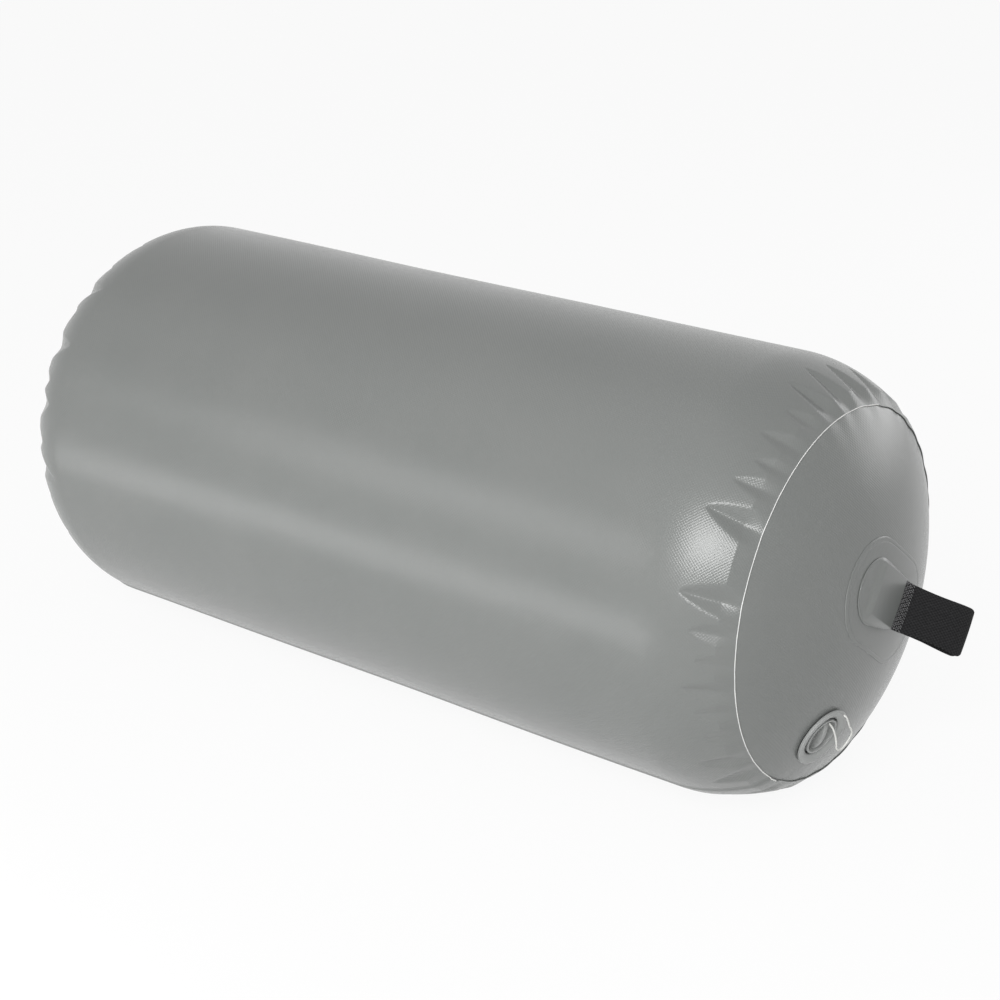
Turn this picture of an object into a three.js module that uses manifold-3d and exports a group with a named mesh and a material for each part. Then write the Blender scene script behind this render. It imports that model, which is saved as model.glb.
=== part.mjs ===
// Inflatable fender, lying on its side along X on the plane z = 0.
// A tube of coated fabric is gathered at both ends over the rims of two round end
// panels. Each end panel carries a webbing loop between two fabric patches, and the
// front panel (+X) also carries a recessed air valve with a tethered cap.
// Millimetres, +Z up. The origin is under the middle of the tube.

import * as THREE from 'three';
import { mergeVertices } from 'three/addons/utils/BufferGeometryUtils.js';
import Module from 'manifold-3d';

const wasm = await Module();
wasm.setup();

// Envelope
const TUBE_DIAMETER = 457.2;
const POLE_TO_POLE = 1030.4;
const FABRIC = 0.9;
const FIT_GAP = 0.3;
const FLAT_SPOT_WIDTH = 60;
const SEAM_INSET = 36.7;
const SEAM_LAP = 22;
const FRONT_ROUNDNESS = 1.6;
const REAR_ROUNDNESS = 3;
const FRONT_PANEL_EDGE_ANGLE = 32.2;
const REAR_PANEL_EDGE_ANGLE = 19.3;
const PANEL_ROUNDNESS = 1.2;

// Gathers at the tube's ends
const GATHERS = 18;
const FACETS_PER_GATHER = 4;
const FIRST_GATHER_ANGLE = 145;
const GATHER_DEPTH = 6;
const GATHER_UNEVENNESS = 0.65;
const DEEPEST_GATHER_ANGLE = 155;
const GATHER_LENGTH = 72;
const GATHER_SHARE_AT_SEAM = 0.35;
const GATHER_FADE_ON_PANEL = 12;
const SMALL_GATHER_SHARE = 0.4;

// Webbing loop and its patches, the same at both ends
const LOOP_TURN = -36.6;
const LOOP_RAISE = 11;
const BASE_PATCH_WIDTH = 110;
const BASE_PATCH_LENGTH = 177;
const BASE_PATCH_SHIFT = 17;
const COVER_WIDTH = 68;
const COVER_END_WIDTH = 57;
const COVER_REACH = 53.5;
const COVER_ROUND_LENGTH = 34;
const COVER_RAMP = 6;
const PATCH_SHEET = 1;
const WEBBING_WIDTH = 50.8;
const WEBBING_SHEET = 1.8;
const WEBBING_OFFSET = -3.2;
const WEBBING_EXIT = 28.5;
const WEBBING_HIDDEN_LENGTH = 53;
const LOOP_LENGTH = 84.6;
const LOOP_BEND_RADIUS = 20;
const LOOP_LIFT_ANGLE = 47;
const LOOP_SEWN_LENGTH = 18;
const LOOP_EYE_GAP = 14;

// Air valve
const VALVE_TO_SEAM = 54;
const VALVE_ANGLE = -118.5;
const VALVE_FIN_TURN = 65;
const BEZEL_DIAMETER = 65;
const BEZEL_HEIGHT = 3.2;
const BEZEL_BAND = 4.5;
const BARREL_DIAMETER = 49;
const VALVE_DEPTH = 25;
const RECESS_DEPTH = 9;
const RECESS_GAP = 2;
const GASKET_SHEET = 0.8;
const BOSS_RING_HEIGHT = 9;
const CAP_SEAT_DIAMETER = 34.6;
const CAP_DIAMETER = 41;
const CAP_WALL = 2.2;
const CAP_RIM_HEIGHT = 1.5;
const CAP_FLOOR_DEPTH = 5;
const CAP_PLUG_LENGTH = 7;
const CAP_RUNNING_GAP = 0.4;
const CAP_SEAL_WIRE = 1.6;
const FIN_THICKNESS = 5.5;
const FIN_HEIGHT = 8;
const STEM_DIAMETER = 4;
const BUTTON_DIAMETER = 10;
const BUTTON_HEIGHT = 1.7;
const HUB_DIAMETER = 10;
const HUB_HEIGHT = 5;
const SPOKE_WIDTH = 2.4;
const SPOKES = 4;
const SEAT_DIAMETER = 26;
const SEAT_WALL = 3;
const SEAT_LIP = 3;
const POPPET_SHEET = 1.8;
const SEAL_SHEET = 1.5;
const SPRING_WIRE = 0.8;
const SPRING_TURNS = 4;

// Cap tether, hand-placed points: along the panel round the axis, along the panel
// away from the pole, and out from the panel, all from the valve's centre.
const TETHER_DIAMETER = 1.8;
const TETHER_POINTS = [
  [3.5, -30, 4.5], [5, -29.5, 7.5], [10, -26.5, 9.5], [17, -22.5, 10.5], [24.5, -19.5, 11.5],
  [29.5, -15.5, 12], [32, -9.5, 12], [32.5, -2.5, 12], [30.5, 3, 12], [26, 5, 12],
  [20.5, 3.2, 11.5], [15.5, -1, 10.8], [10.5, -5.5, 9.4], [5.5, -9.8, 7.2], [1, -13.2, 4.2],
  [-3.4, -15.6, 0.2],
];

const radians = THREE.MathUtils.degToRad;
const tubeRadius = TUBE_DIAMETER / 2;
const seamRadius = tubeRadius - SEAM_INSET;
const axisHeight = Math.sqrt(tubeRadius ** 2 - (FLAT_SPOT_WIDTH / 2) ** 2);
const panelDepth = FABRIC + FIT_GAP;

const colours = {
  coatedFabric: [0x858885, 0.42, 0],
  webbing: [0x282828, 0.9, 0],
  greyPlastic: [0x9d9f9e, 0.45, 0],
  darkRubber: [0x2b2b2c, 0.8, 0],
  springSteel: [0xb9bbbd, 0.3, 1],
  whiteCord: [0xeeeeea, 0.8, 0],
};

const fender = new THREE.Group();

function addPiece(name, geometry, colour) {
  const [color, roughness, metalness] = colours[colour];
  const mesh = new THREE.Mesh(geometry, new THREE.MeshStandardMaterial({ color, roughness, metalness }));
  mesh.name = name;
  fender.add(mesh);
  return mesh;
}

// A closed body from rings of points. A ring of one point is a pole, and the last ring
// joins back to the first unless both are poles or the ends close by themselves. A
// square is split along its shorter diagonal, so that two layers split alike. Faces are
// turned to point outwards.
function bodyFromRings(rings, endsClose = false) {
  const points = [];
  const starts = [];
  for (const ring of rings) {
    starts.push(points.length);
    points.push(...ring);
  }
  const faces = [];
  rings.forEach((ring, i) => {
    const j = (i + 1) % rings.length;
    const next = rings[j];
    const count = Math.max(ring.length, next.length);
    if (count === 1 || (endsClose && j === 0)) return;
    for (let k = 0; k < count; k += 1) {
      const k2 = (k + 1) % count;
      const a = starts[i] + (k % ring.length);
      const b = starts[i] + (k2 % ring.length);
      const c = starts[j] + (k2 % next.length);
      const d = starts[j] + (k % next.length);
      const quad = [points[a], points[b], points[c], points[d]];
      if (a === b) faces.push([a, c, d]);
      else if (c === d) faces.push([a, b, c]);
      else if (quad[0].distanceTo(quad[2]) < quad[1].distanceTo(quad[3])) faces.push([a, b, c], [a, c, d]);
      else faces.push([a, b, d], [b, c, d]);
    }
  });
  let volume = 0;
  const cross = new THREE.Vector3();
  for (const [a, b, c] of faces) volume += points[a].dot(cross.crossVectors(points[b], points[c]));
  const index = volume < 0 ? faces.map(([a, b, c]) => [a, c, b]) : faces;
  const geometry = new THREE.BufferGeometry().setFromPoints(points);
  geometry.setIndex(index.flat());
  return geometry;
}

// Shared vertices become one, and the faces that shrink to a line on an axis go.
function mergedPositions(geometry) {
  const bare = geometry.clone();
  bare.deleteAttribute('normal');
  bare.deleteAttribute('uv');
  const merged = mergeVertices(bare, 1e-4);
  const index = merged.index.array;
  const faces = [];
  for (let i = 0; i < index.length; i += 3) {
    const [a, b, c] = index.slice(i, i + 3);
    if (a !== b && b !== c && c !== a) faces.push(a, b, c);
  }
  merged.setIndex(faces);
  return merged;
}

function toSolid(geometry) {
  const merged = mergedPositions(geometry);
  return new wasm.Manifold(new wasm.Mesh({
    numProp: 3,
    vertProperties: new Float32Array(merged.attributes.position.array),
    triVerts: new Uint32Array(merged.index.array),
  }));
}

function toGeometry(solid) {
  const mesh = solid.getMesh();
  const geometry = new THREE.BufferGeometry();
  geometry.setAttribute('position', new THREE.BufferAttribute(mesh.vertProperties.slice(), 3));
  geometry.setIndex(Array.from(mesh.triVerts));
  return geometry;
}

// The fabric's outline from the pole to the barrel. The sine of its slope grows with a
// power of the radius: roundness 1 is a ball, and more is squarer at the shoulder.
// Distances run along the fabric from the seam, negative on the end panel.
function makeEndShape(roundness, panelEdgeAngle) {
  const steps = 200;
  const panelSlope = radians(panelEdgeAngle);
  const tubeSlope = Math.asin((seamRadius / tubeRadius) ** roundness);
  const table = [{ s: 0, x: POLE_TO_POLE / 2, r: 0, slope: 0 }];
  const walk = (from, to, edgeRadius, edgeSlope, power) => {
    for (let i = 1; i <= steps; i += 1) {
      const last = table[table.length - 1];
      const slope = from + ((to - from) * i) / steps;
      const r = edgeRadius * (Math.sin(slope) / Math.sin(edgeSlope)) ** (1 / power);
      const x = last.x - (((last.r + r) / 2 / power) * (to - from)) / steps;
      table.push({ s: last.s + Math.hypot(x - last.x, r - last.r), x, r, slope });
    }
  };
  walk(0, panelSlope, seamRadius, panelSlope, PANEL_ROUNDNESS);
  const seam = table.length - 1;
  walk(tubeSlope, Math.PI / 2, seamRadius, tubeSlope, roundness);
  const seamDistance = table[seam].s;
  for (const row of table) row.s -= seamDistance;
  const barrel = table[table.length - 1];
  const between = (key, value) => {
    if (key === 's' && value > barrel.s) return { ...barrel, x: barrel.x - (value - barrel.s) };
    const i = Math.max(table.findIndex((row) => row[key] >= value), 1);
    const [a, b] = [table[i - 1], table[i]];
    const mix = THREE.MathUtils.clamp((value - a[key]) / (b[key] - a[key] || 1), 0, 1);
    return {
      x: a.x + (b.x - a.x) * mix,
      r: a.r + (b.r - a.r) * mix,
      slope: a.slope + (b.slope - a.slope) * mix,
    };
  };
  return {
    at: (s) => (s === 0 ? { ...table[seam], slope: (panelSlope + tubeSlope) / 2 } : between('s', s)),
    atRadius: (r) => between('r', r),
    poleDistance: table[0].s,
    barrelDistance: barrel.s,
  };
}

const frontShape = makeEndShape(FRONT_ROUNDNESS, FRONT_PANEL_EDGE_ANGLE);
const rearShape = makeEndShape(REAR_ROUNDNESS, REAR_PANEL_EDGE_ANGLE);

// How far the gathers pull the fabric inwards. Valleys are narrow and start abruptly on
// the shoulder, with a small valley between each pair, and they fade out on the panel.
function gatherPull(s, angle) {
  const pitch = 360 / GATHERS;
  const turn = (angle - FIRST_GATHER_ANGLE) / pitch;
  const u = turn - Math.round(turn);
  const valley = (v) => Math.exp(-((v / 0.16) ** 2));
  const away = Math.cos(radians(angle - DEEPEST_GATHER_ANGLE));
  const depth = GATHER_DEPTH * (1 + GATHER_UNEVENNESS * away);
  const across = valley(u) + SMALL_GATHER_SHARE * valley(0.5 - Math.abs(u));
  const v = Math.min(s / GATHER_LENGTH, 1);
  const rise = 10 * GATHER_SHARE_AT_SEAM;
  const along = s >= 0
    ? (1 - v) * (GATHER_SHARE_AT_SEAM + rise * v)
    : GATHER_SHARE_AT_SEAM * Math.exp(s / GATHER_FADE_ON_PANEL);
  return depth * across * along;
}

// A ring of the fabric, at a distance along it from the seam and a depth below its face.
function fabricRing(shape, side, s, depth) {
  const count = GATHERS * FACETS_PER_GATHER;
  const row = shape.at(s);
  return Array.from({ length: count }, (_, i) => {
    const angle = (360 * i) / count;
    const inwards = depth + gatherPull(s, angle);
    const radius = row.r - inwards * Math.sin(row.slope);
    const z = axisHeight + radius * Math.sin(radians(angle));
    return new THREE.Vector3(
      side * (row.x - inwards * Math.cos(row.slope)),
      radius * Math.cos(radians(angle)),
      Math.max(z, depth),
    );
  });
}

const lapRings = [SEAM_LAP, SEAM_LAP / 2, 0];

function tubeGeometry() {
  const gatherRings = [2 / 3, 1 / 3, 0].map((part) => (1 - part) * (GATHER_LENGTH - SEAM_LAP) + SEAM_LAP);
  const half = (shape) => {
    const shoulder = [(GATHER_LENGTH + shape.barrelDistance) / 2, shape.barrelDistance];
    return [...lapRings, ...gatherRings, ...shoulder].sort((a, b) => a - b);
  };
  const skin = (depth) => [
    ...half(frontShape).map((s) => fabricRing(frontShape, 1, s, depth)),
    ...half(rearShape).reverse().map((s) => fabricRing(rearShape, -1, s, depth)),
  ];
  return bodyFromRings([...skin(0), ...skin(FABRIC).reverse()]);
}

function panelGeometry(shape, side, shares) {
  const inner = shares.map((share) => share * shape.poleDistance);
  const skin = (depth) => {
    const pole = new THREE.Vector3(side * (POLE_TO_POLE / 2 - depth), 0, axisHeight);
    return [...[...lapRings, ...inner].map((s) => fabricRing(shape, side, s, depth)), [pole]];
  };
  return bodyFromRings([...skin(panelDepth), ...skin(panelDepth + FABRIC).reverse()]);
}

// Loop coordinates on an end: t along the webbing, w across its width, and lift out
// from the panel. The loop's middle sits a little above the pole.
const runAxis = new THREE.Vector2(Math.cos(radians(LOOP_TURN)), Math.sin(radians(LOOP_TURN)));
const widthAxis = new THREE.Vector2(runAxis.y, -runAxis.x);
const strapLow = FIT_GAP + PATCH_SHEET + FIT_GAP;
const strapMiddle = strapLow + WEBBING_SHEET;

function onPanel(side, t, w, lift) {
  const y = t * runAxis.x + w * widthAxis.x;
  const z = t * runAxis.y + w * widthAxis.y + LOOP_RAISE;
  const shape = side > 0 ? frontShape : rearShape;
  const x = shape.atRadius(Math.hypot(y, z)).x - panelDepth + lift;
  return new THREE.Vector3(side * x, y, axisHeight + z);
}

function basePatchGeometry(side) {
  const around = 30;
  const shares = [1, 0.75, 0.5, 0.25];
  const round = BASE_PATCH_WIDTH / 2;
  const straight = BASE_PATCH_LENGTH / 2 - round;
  const outline = new THREE.Path();
  outline.absarc(straight, 0, round, -Math.PI / 2, Math.PI / 2);
  outline.absarc(-straight, 0, round, Math.PI / 2, (3 * Math.PI) / 2);
  outline.closePath();
  const edge = outline.getSpacedPoints(around).slice(0, around);
  const sheet = (lift) => shares.map((share) => edge.map((point) => (
    onPanel(side, share * point.x + BASE_PATCH_SHIFT, share * point.y, lift))));
  const centre = (lift) => [onPanel(side, BASE_PATCH_SHIFT, 0, lift)];
  const low = FIT_GAP;
  const high = FIT_GAP + PATCH_SHEET;
  return bodyFromRings([...sheet(low), centre(low), centre(high), ...sheet(high).reverse()]);
}

// The cover patch has a half-round end, lies on the base patch, and climbs over the
// hidden part of the webbing. It narrows towards the end where the webbing comes out.
function coverPatchGeometry(side) {
  const strapEdge = WEBBING_WIDTH / 2 + FIT_GAP + PATCH_SHEET;
  const climb = 2 * WEBBING_SHEET + FIT_GAP;
  const climbTo = WEBBING_EXIT - WEBBING_HIDDEN_LENGTH - FIT_GAP - PATCH_SHEET;
  const climbFrom = climbTo - COVER_RAMP;
  const roundTo = COVER_ROUND_LENGTH - COVER_REACH;
  const halves = [-1, -0.5, 0, 0.5, 1];
  const flat = [0.08, 0.28, 0.58, 1].map((part) => part * (climbFrom + COVER_REACH) - COVER_REACH);
  const raised = [0.75, 0.5, 0.25, 0].map((part) => WEBBING_EXIT - part * WEBBING_HIDDEN_LENGTH);
  const rows = [...flat, climbTo, ...raised].map((t) => {
    const round = Math.sqrt(1 - Math.min((t - roundTo) / COVER_ROUND_LENGTH, 0) ** 2);
    const narrowing = Math.max((t - roundTo) / (WEBBING_EXIT - roundTo), 0);
    const edge = THREE.MathUtils.lerp(COVER_WIDTH * round, COVER_END_WIDTH, narrowing) / 2;
    const middle = WEBBING_OFFSET * narrowing;
    const overStrap = t > climbFrom;
    const inner = overStrap
      ? halves.map((part) => WEBBING_OFFSET + part * strapEdge)
      : halves.map((part) => middle + 0.8 * part * edge);
    const lift = strapLow + (overStrap ? climb : 0);
    const line = (thickness) => [
      onPanel(side, t, middle - edge, strapLow + thickness),
      ...inner.map((w) => onPanel(side, t, w, lift + thickness)),
      onPanel(side, t, middle + edge, strapLow + thickness),
    ];
    return [...line(0), ...line(PATCH_SHEET).reverse()];
  });
  const closed = (ring) => ring.map((point, i) => point.clone().lerp(ring[ring.length - 1 - i], 0.5));
  return mergedPositions(bodyFromRings([closed(rows[0]), ...rows, closed(rows[rows.length - 1])], true));
}

// The webbing is folded in two. It lies flat under the cover patch, comes out at the
// cover's end, bends away from the panel and runs on straight. It is sewn together up
// to a little past the cover, and from there on it opens into an eye.
function webbingGeometry(side) {
  const hidden = WEBBING_HIDDEN_LENGTH;
  const sewn = hidden + LOOP_SEWN_LENGTH;
  const liftAngle = radians(LOOP_LIFT_ANGLE);
  const bendLength = LOOP_BEND_RADIUS * liftAngle;
  const near = onPanel(side, WEBBING_EXIT - 1, 0, 0);
  const far = onPanel(side, WEBBING_EXIT + 1, 0, 0);
  const fall = Math.atan2(side * (near.x - far.x), 2);
  const placed = (a, n, w) => {
    if (a <= hidden) {
      return onPanel(side, WEBBING_EXIT - hidden + a, w + WEBBING_OFFSET, strapMiddle + n);
    }
    const turn = Math.min((a - hidden) / LOOP_BEND_RADIUS, liftAngle);
    const beyond = Math.max(a - hidden - bendLength, 0);
    const radius = LOOP_BEND_RADIUS - n;
    const run = radius * Math.sin(turn) + beyond * Math.cos(turn);
    const rise = LOOP_BEND_RADIUS - radius * Math.cos(turn) + beyond * Math.sin(turn);
    const t = run * Math.cos(fall) + rise * Math.sin(fall);
    const lift = rise * Math.cos(fall) - run * Math.sin(fall);
    const exit = onPanel(side, WEBBING_EXIT, w + WEBBING_OFFSET, strapMiddle);
    return new THREE.Vector3(exit.x + side * lift, exit.y + t * runAxis.x, exit.z + t * runAxis.y);
  };
  const eyeLength = hidden + LOOP_LENGTH - WEBBING_SHEET - sewn;
  const eyeSteps = 12;
  const halfGap = (u) => (LOOP_EYE_GAP / 2) * 2.6 * u * Math.sqrt(1 - u);
  const eye = [];
  for (let i = 0; i <= eyeSteps; i += 1) {
    const u = 1 - (1 - i / eyeSteps) ** 2;
    eye.push([sewn + eyeLength * u, -halfGap(u)]);
  }
  for (let i = eyeSteps - 1; i > 0; i -= 1) eye.push([eye[i][0], -eye[i][1]]);
  const outside = eye.slice(1).map(([a, n], i) => {
    const before = eye[i];
    const after = eye[(i + 2) % eye.length];
    const along = new THREE.Vector2(after[0] - before[0], after[1] - before[1]).normalize();
    return [a + along.y * WEBBING_SHEET, n - along.x * WEBBING_SHEET];
  });
  const steps = [0, 0.25, 0.5, 0.75, 1].map((part) => part * hidden);
  steps.push(sewn);
  const outline = [...steps.map((a) => [a, -WEBBING_SHEET]), ...outside,
    ...steps.reverse().map((a) => [a, WEBBING_SHEET])];
  const shape = new THREE.Shape(outline.map(([a, n]) => new THREE.Vector2(a, n)));
  shape.holes.push(new THREE.Path(eye.map(([a, n]) => new THREE.Vector2(a, n)).reverse()));
  const extruded = new THREE.ExtrudeGeometry(shape, { depth: WEBBING_WIDTH, steps: 4, bevelEnabled: false });
  const geometry = mergedPositions(extruded);
  const position = geometry.attributes.position;
  for (let i = 0; i < position.count; i += 1) {
    const w = position.getZ(i) - WEBBING_WIDTH / 2;
    const point = placed(position.getX(i), position.getY(i), w);
    position.setXYZ(i, point.x, point.y, point.z);
  }
  if (side < 0) geometry.setIndex(Array.from(geometry.index.array).reverse());
  return geometry;
}

addPiece('tube_panel', tubeGeometry(), 'coatedFabric');

// Valve frame: x along the cap's fin, z out from the panel.
const valveRadius = seamRadius - VALVE_TO_SEAM;
const valveRow = frontShape.atRadius(valveRadius);
const valveAngle = radians(VALVE_ANGLE);
const valveOut = new THREE.Vector3(
  Math.cos(valveRow.slope),
  Math.sin(valveRow.slope) * Math.cos(valveAngle),
  Math.sin(valveRow.slope) * Math.sin(valveAngle),
);
const valveAround = new THREE.Vector3(0, -Math.sin(valveAngle), Math.cos(valveAngle));
const valveAway = new THREE.Vector3().crossVectors(valveAround, valveOut);
const valveCentre = new THREE.Vector3(
  valveRow.x,
  valveRadius * Math.cos(valveAngle),
  axisHeight + valveRadius * Math.sin(valveAngle),
).addScaledVector(valveOut, -panelDepth);
const finAxis = new THREE.Vector3()
  .addScaledVector(valveAround, Math.cos(radians(VALVE_FIN_TURN)))
  .addScaledVector(valveAway, Math.sin(radians(VALVE_FIN_TURN)));
const valveFrame = new THREE.Matrix4()
  .makeBasis(finAxis, new THREE.Vector3().crossVectors(valveOut, finAxis), valveOut)
  .setPosition(valveCentre);

function revolve(profile, segments) {
  const points = profile.map(([r, z]) => new THREE.Vector2(r, z));
  const closed = profile[0][0] === 0 ? points : [...points, points[0].clone()];
  return mergedPositions(new THREE.LatheGeometry(closed, segments)).rotateX(Math.PI / 2);
}

function addValvePiece(name, geometry, colour) {
  addPiece(name, geometry.applyMatrix4(valveFrame), colour);
}

const domeRadius = valveRadius / Math.sin(valveRow.slope);
const domeDrop = (r) => (r * r) / (2 * domeRadius);
const bezelRadius = BEZEL_DIAMETER / 2;
const barrelRadius = BARREL_DIAMETER / 2;
const holeRadius = barrelRadius + 2 * FIT_GAP;
const seatBore = CAP_SEAT_DIAMETER / 2;
const seatRadius = SEAT_DIAMETER / 2;
const capRadius = CAP_DIAMETER / 2;
const recessRadius = capRadius + RECESS_GAP;
const shelf = -RECESS_DEPTH;
const spiderTop = -VALVE_DEPTH + SEAT_WALL;
const lipBottom = -VALVE_DEPTH - SEAT_LIP;
const ROUND = 36;

function cutValveHole(panel) {
  const hole = new THREE.CylinderGeometry(holeRadius, holeRadius, 40, ROUND).rotateX(Math.PI / 2);
  return toGeometry(toSolid(panel).subtract(toSolid(hole.applyMatrix4(valveFrame))));
}

const panelShares = [0.06, 0.16, 0.28, 0.4, 0.6];
addPiece('front_end_panel', cutValveHole(panelGeometry(frontShape, 1, panelShares)), 'coatedFabric');
addPiece('rear_end_panel', panelGeometry(rearShape, -1, [0.08, 0.25, 0.55]), 'coatedFabric');

for (const [end, side] of [['front', 1], ['rear', -1]]) {
  addPiece(`${end}_base_patch`, basePatchGeometry(side), 'coatedFabric');
  addPiece(`${end}_cover_patch`, coverPatchGeometry(side), 'coatedFabric');
  addPiece(`${end}_webbing_loop`, webbingGeometry(side), 'webbing');
}

// The gasket and the flange over it follow the panel's dome.
const gasketLow = (r) => FIT_GAP - domeDrop(r);
const gasketHigh = (r) => gasketLow(r) + GASKET_SHEET;
const flangeLow = (r) => gasketHigh(r) + FIT_GAP;
const gasketInner = holeRadius + FIT_GAP;
const gasketOuter = bezelRadius - 1;

addValvePiece('valve_gasket', revolve([
  [gasketInner, gasketLow(gasketInner)],
  [gasketOuter, gasketLow(gasketOuter)],
  [gasketOuter, gasketHigh(gasketOuter)],
  [gasketInner, gasketHigh(gasketInner)],
], ROUND), 'darkRubber');

function valveBody() {
  const corner = 1;
  const shell = revolve([
    [barrelRadius, flangeLow(barrelRadius)],
    [barrelRadius, -VALVE_DEPTH],
    [seatRadius + SEAT_WALL, -VALVE_DEPTH],
    [seatRadius + SEAT_WALL, lipBottom],
    [seatRadius, lipBottom],
    [seatRadius, spiderTop],
    [seatBore, spiderTop],
    [seatBore, shelf],
    [recessRadius, shelf],
    [recessRadius, 0],
    [bezelRadius - BEZEL_BAND, BEZEL_HEIGHT],
    [bezelRadius - corner, BEZEL_HEIGHT],
    [bezelRadius, BEZEL_HEIGHT - corner],
    [bezelRadius, flangeLow(bezelRadius)],
  ].reverse(), ROUND);
  const bore = STEM_DIAMETER / 2 + FIT_GAP;
  const hubTop = -VALVE_DEPTH + HUB_HEIGHT;
  const hub = revolve([
    [bore, -VALVE_DEPTH], [HUB_DIAMETER / 2, -VALVE_DEPTH], [HUB_DIAMETER / 2, hubTop], [bore, hubTop],
  ], 24);
  let solid = toSolid(shell).add(toSolid(hub));
  const inner = HUB_DIAMETER / 2 - 1;
  const outer = seatRadius + SEAT_WALL / 2;
  for (let i = 0; i < SPOKES; i += 1) {
    const spoke = new THREE.BoxGeometry(outer - inner, SPOKE_WIDTH, SEAT_WALL)
      .translate((outer + inner) / 2, 0, -VALVE_DEPTH + SEAT_WALL / 2)
      .rotateZ((2 * Math.PI * (i + 0.5)) / SPOKES);
    solid = solid.add(toSolid(spoke));
  }
  return toGeometry(solid);
}

addValvePiece('valve_body', valveBody(), 'greyPlastic');

// The ring nut inside the bag clamps the panel against the flange.
const bossHigh = (r) => -domeDrop(r) - FABRIC - 3 * FIT_GAP;
const bossInner = barrelRadius + FIT_GAP;
addValvePiece('valve_clamp_ring', revolve([
  [bossInner, bossHigh(bezelRadius) - BOSS_RING_HEIGHT],
  [bossInner + SEAT_WALL, bossHigh(bezelRadius) - BOSS_RING_HEIGHT],
  [bossInner + SEAT_WALL, bossHigh(bezelRadius) - SEAT_WALL],
  [bezelRadius, bossHigh(bezelRadius) - SEAT_WALL],
  [bezelRadius, bossHigh(bezelRadius)],
  [bossInner, bossHigh(bossInner)],
], ROUND), 'greyPlastic');

// Valve cap: a dished plug with a finger fin across it.
const capFloor = -CAP_FLOOR_DEPTH;
const capUnder = capFloor - CAP_WALL;
const plugRadius = seatBore - CAP_RUNNING_GAP;
const capEdgeLow = shelf + CAP_SEAL_WIRE + FIT_GAP;

function valveCap() {
  const dish = revolve([
    [0, capUnder],
    [plugRadius - CAP_WALL, capUnder],
    [plugRadius - CAP_WALL, capUnder - CAP_PLUG_LENGTH],
    [plugRadius, capUnder - CAP_PLUG_LENGTH],
    [plugRadius, capEdgeLow],
    [capRadius, capEdgeLow],
    [capRadius, CAP_RIM_HEIGHT],
    [capRadius - CAP_WALL, CAP_RIM_HEIGHT],
    [capRadius - CAP_WALL - 1, capFloor],
    [0, capFloor],
  ], ROUND);
  const half = capRadius - CAP_WALL;
  const outline = new THREE.Shape();
  outline.moveTo(-half, 0);
  outline.absellipse(0, 0, half, FIN_HEIGHT, Math.PI, 0, true);
  outline.lineTo(half, -CAP_WALL / 2);
  outline.lineTo(-half, -CAP_WALL / 2);
  const fin = new THREE.ExtrudeGeometry(outline, { depth: FIN_THICKNESS, bevelEnabled: false, curveSegments: 14 })
    .translate(0, 0, -FIN_THICKNESS / 2)
    .rotateX(Math.PI / 2)
    .translate(0, 0, capFloor);
  return toGeometry(toSolid(dish).add(toSolid(fin)));
}

addValvePiece('valve_cap', valveCap(), 'greyPlastic');

const sealWire = CAP_SEAL_WIRE / 2;
const sealRadius = seatBore + sealWire + FIT_GAP;
addValvePiece('cap_seal_ring', mergedPositions(
  new THREE.TorusGeometry(sealRadius, sealWire - FIT_GAP / 2, 6, ROUND),
).translate(0, 0, shelf + sealWire + FIT_GAP / 2), 'darkRubber');

// Stem, poppet, seal and spring: the spring holds the seal up against the seat lip.
const buttonHigh = capUnder - FIT_GAP - 0.8;
const buttonLow = buttonHigh - BUTTON_HEIGHT;
const sealHigh = lipBottom - FIT_GAP;
const poppetHigh = sealHigh - SEAL_SHEET - FIT_GAP;
const stemLow = poppetHigh - POPPET_SHEET;
const stemRadius = STEM_DIAMETER / 2;
addValvePiece('valve_stem', revolve([
  [0, stemLow],
  [stemRadius, stemLow],
  [stemRadius, buttonLow],
  [BUTTON_DIAMETER / 2, buttonLow],
  [BUTTON_DIAMETER / 2, buttonHigh],
  [0, buttonHigh],
], 24), 'greyPlastic');

const sealOuter = seatRadius + SEAT_WALL;
const discBore = stemRadius + FIT_GAP;
addValvePiece('valve_seal_disc', revolve([
  [discBore, sealHigh - SEAL_SHEET], [sealOuter, sealHigh - SEAL_SHEET], [sealOuter, sealHigh], [discBore, sealHigh],
], 36), 'darkRubber');
addValvePiece('valve_poppet', revolve([
  [discBore, stemLow], [sealOuter, stemLow], [sealOuter, poppetHigh], [discBore, poppetHigh],
], 36), 'greyPlastic');

class Helix extends THREE.Curve {
  constructor(radius, low, high, turns) {
    super();
    Object.assign(this, { radius, low, high, turns });
  }

  getPoint(t, target = new THREE.Vector3()) {
    const angle = 2 * Math.PI * this.turns * t;
    return target.set(
      this.radius * Math.cos(angle),
      this.radius * Math.sin(angle),
      this.low + (this.high - this.low) * t,
    );
  }
}

function roundSection(radius, sides) {
  return new THREE.Shape(Array.from({ length: sides }, (_, i) => {
    const angle = (2 * Math.PI * i) / sides;
    return new THREE.Vector2(radius * Math.cos(angle), radius * Math.sin(angle));
  }));
}

const wireRadius = SPRING_WIRE / 2;
const springLow = -VALVE_DEPTH + HUB_HEIGHT + wireRadius + FIT_GAP;
const springHigh = buttonLow - wireRadius - FIT_GAP;
const springPath = new Helix(stemRadius + 2 * SPRING_WIRE, springLow, springHigh, SPRING_TURNS);
addValvePiece('valve_spring', mergedPositions(new THREE.ExtrudeGeometry(
  roundSection(wireRadius, 5),
  { steps: SPRING_TURNS * 9, extrudePath: springPath, bevelEnabled: false },
)), 'springSteel');

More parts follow.
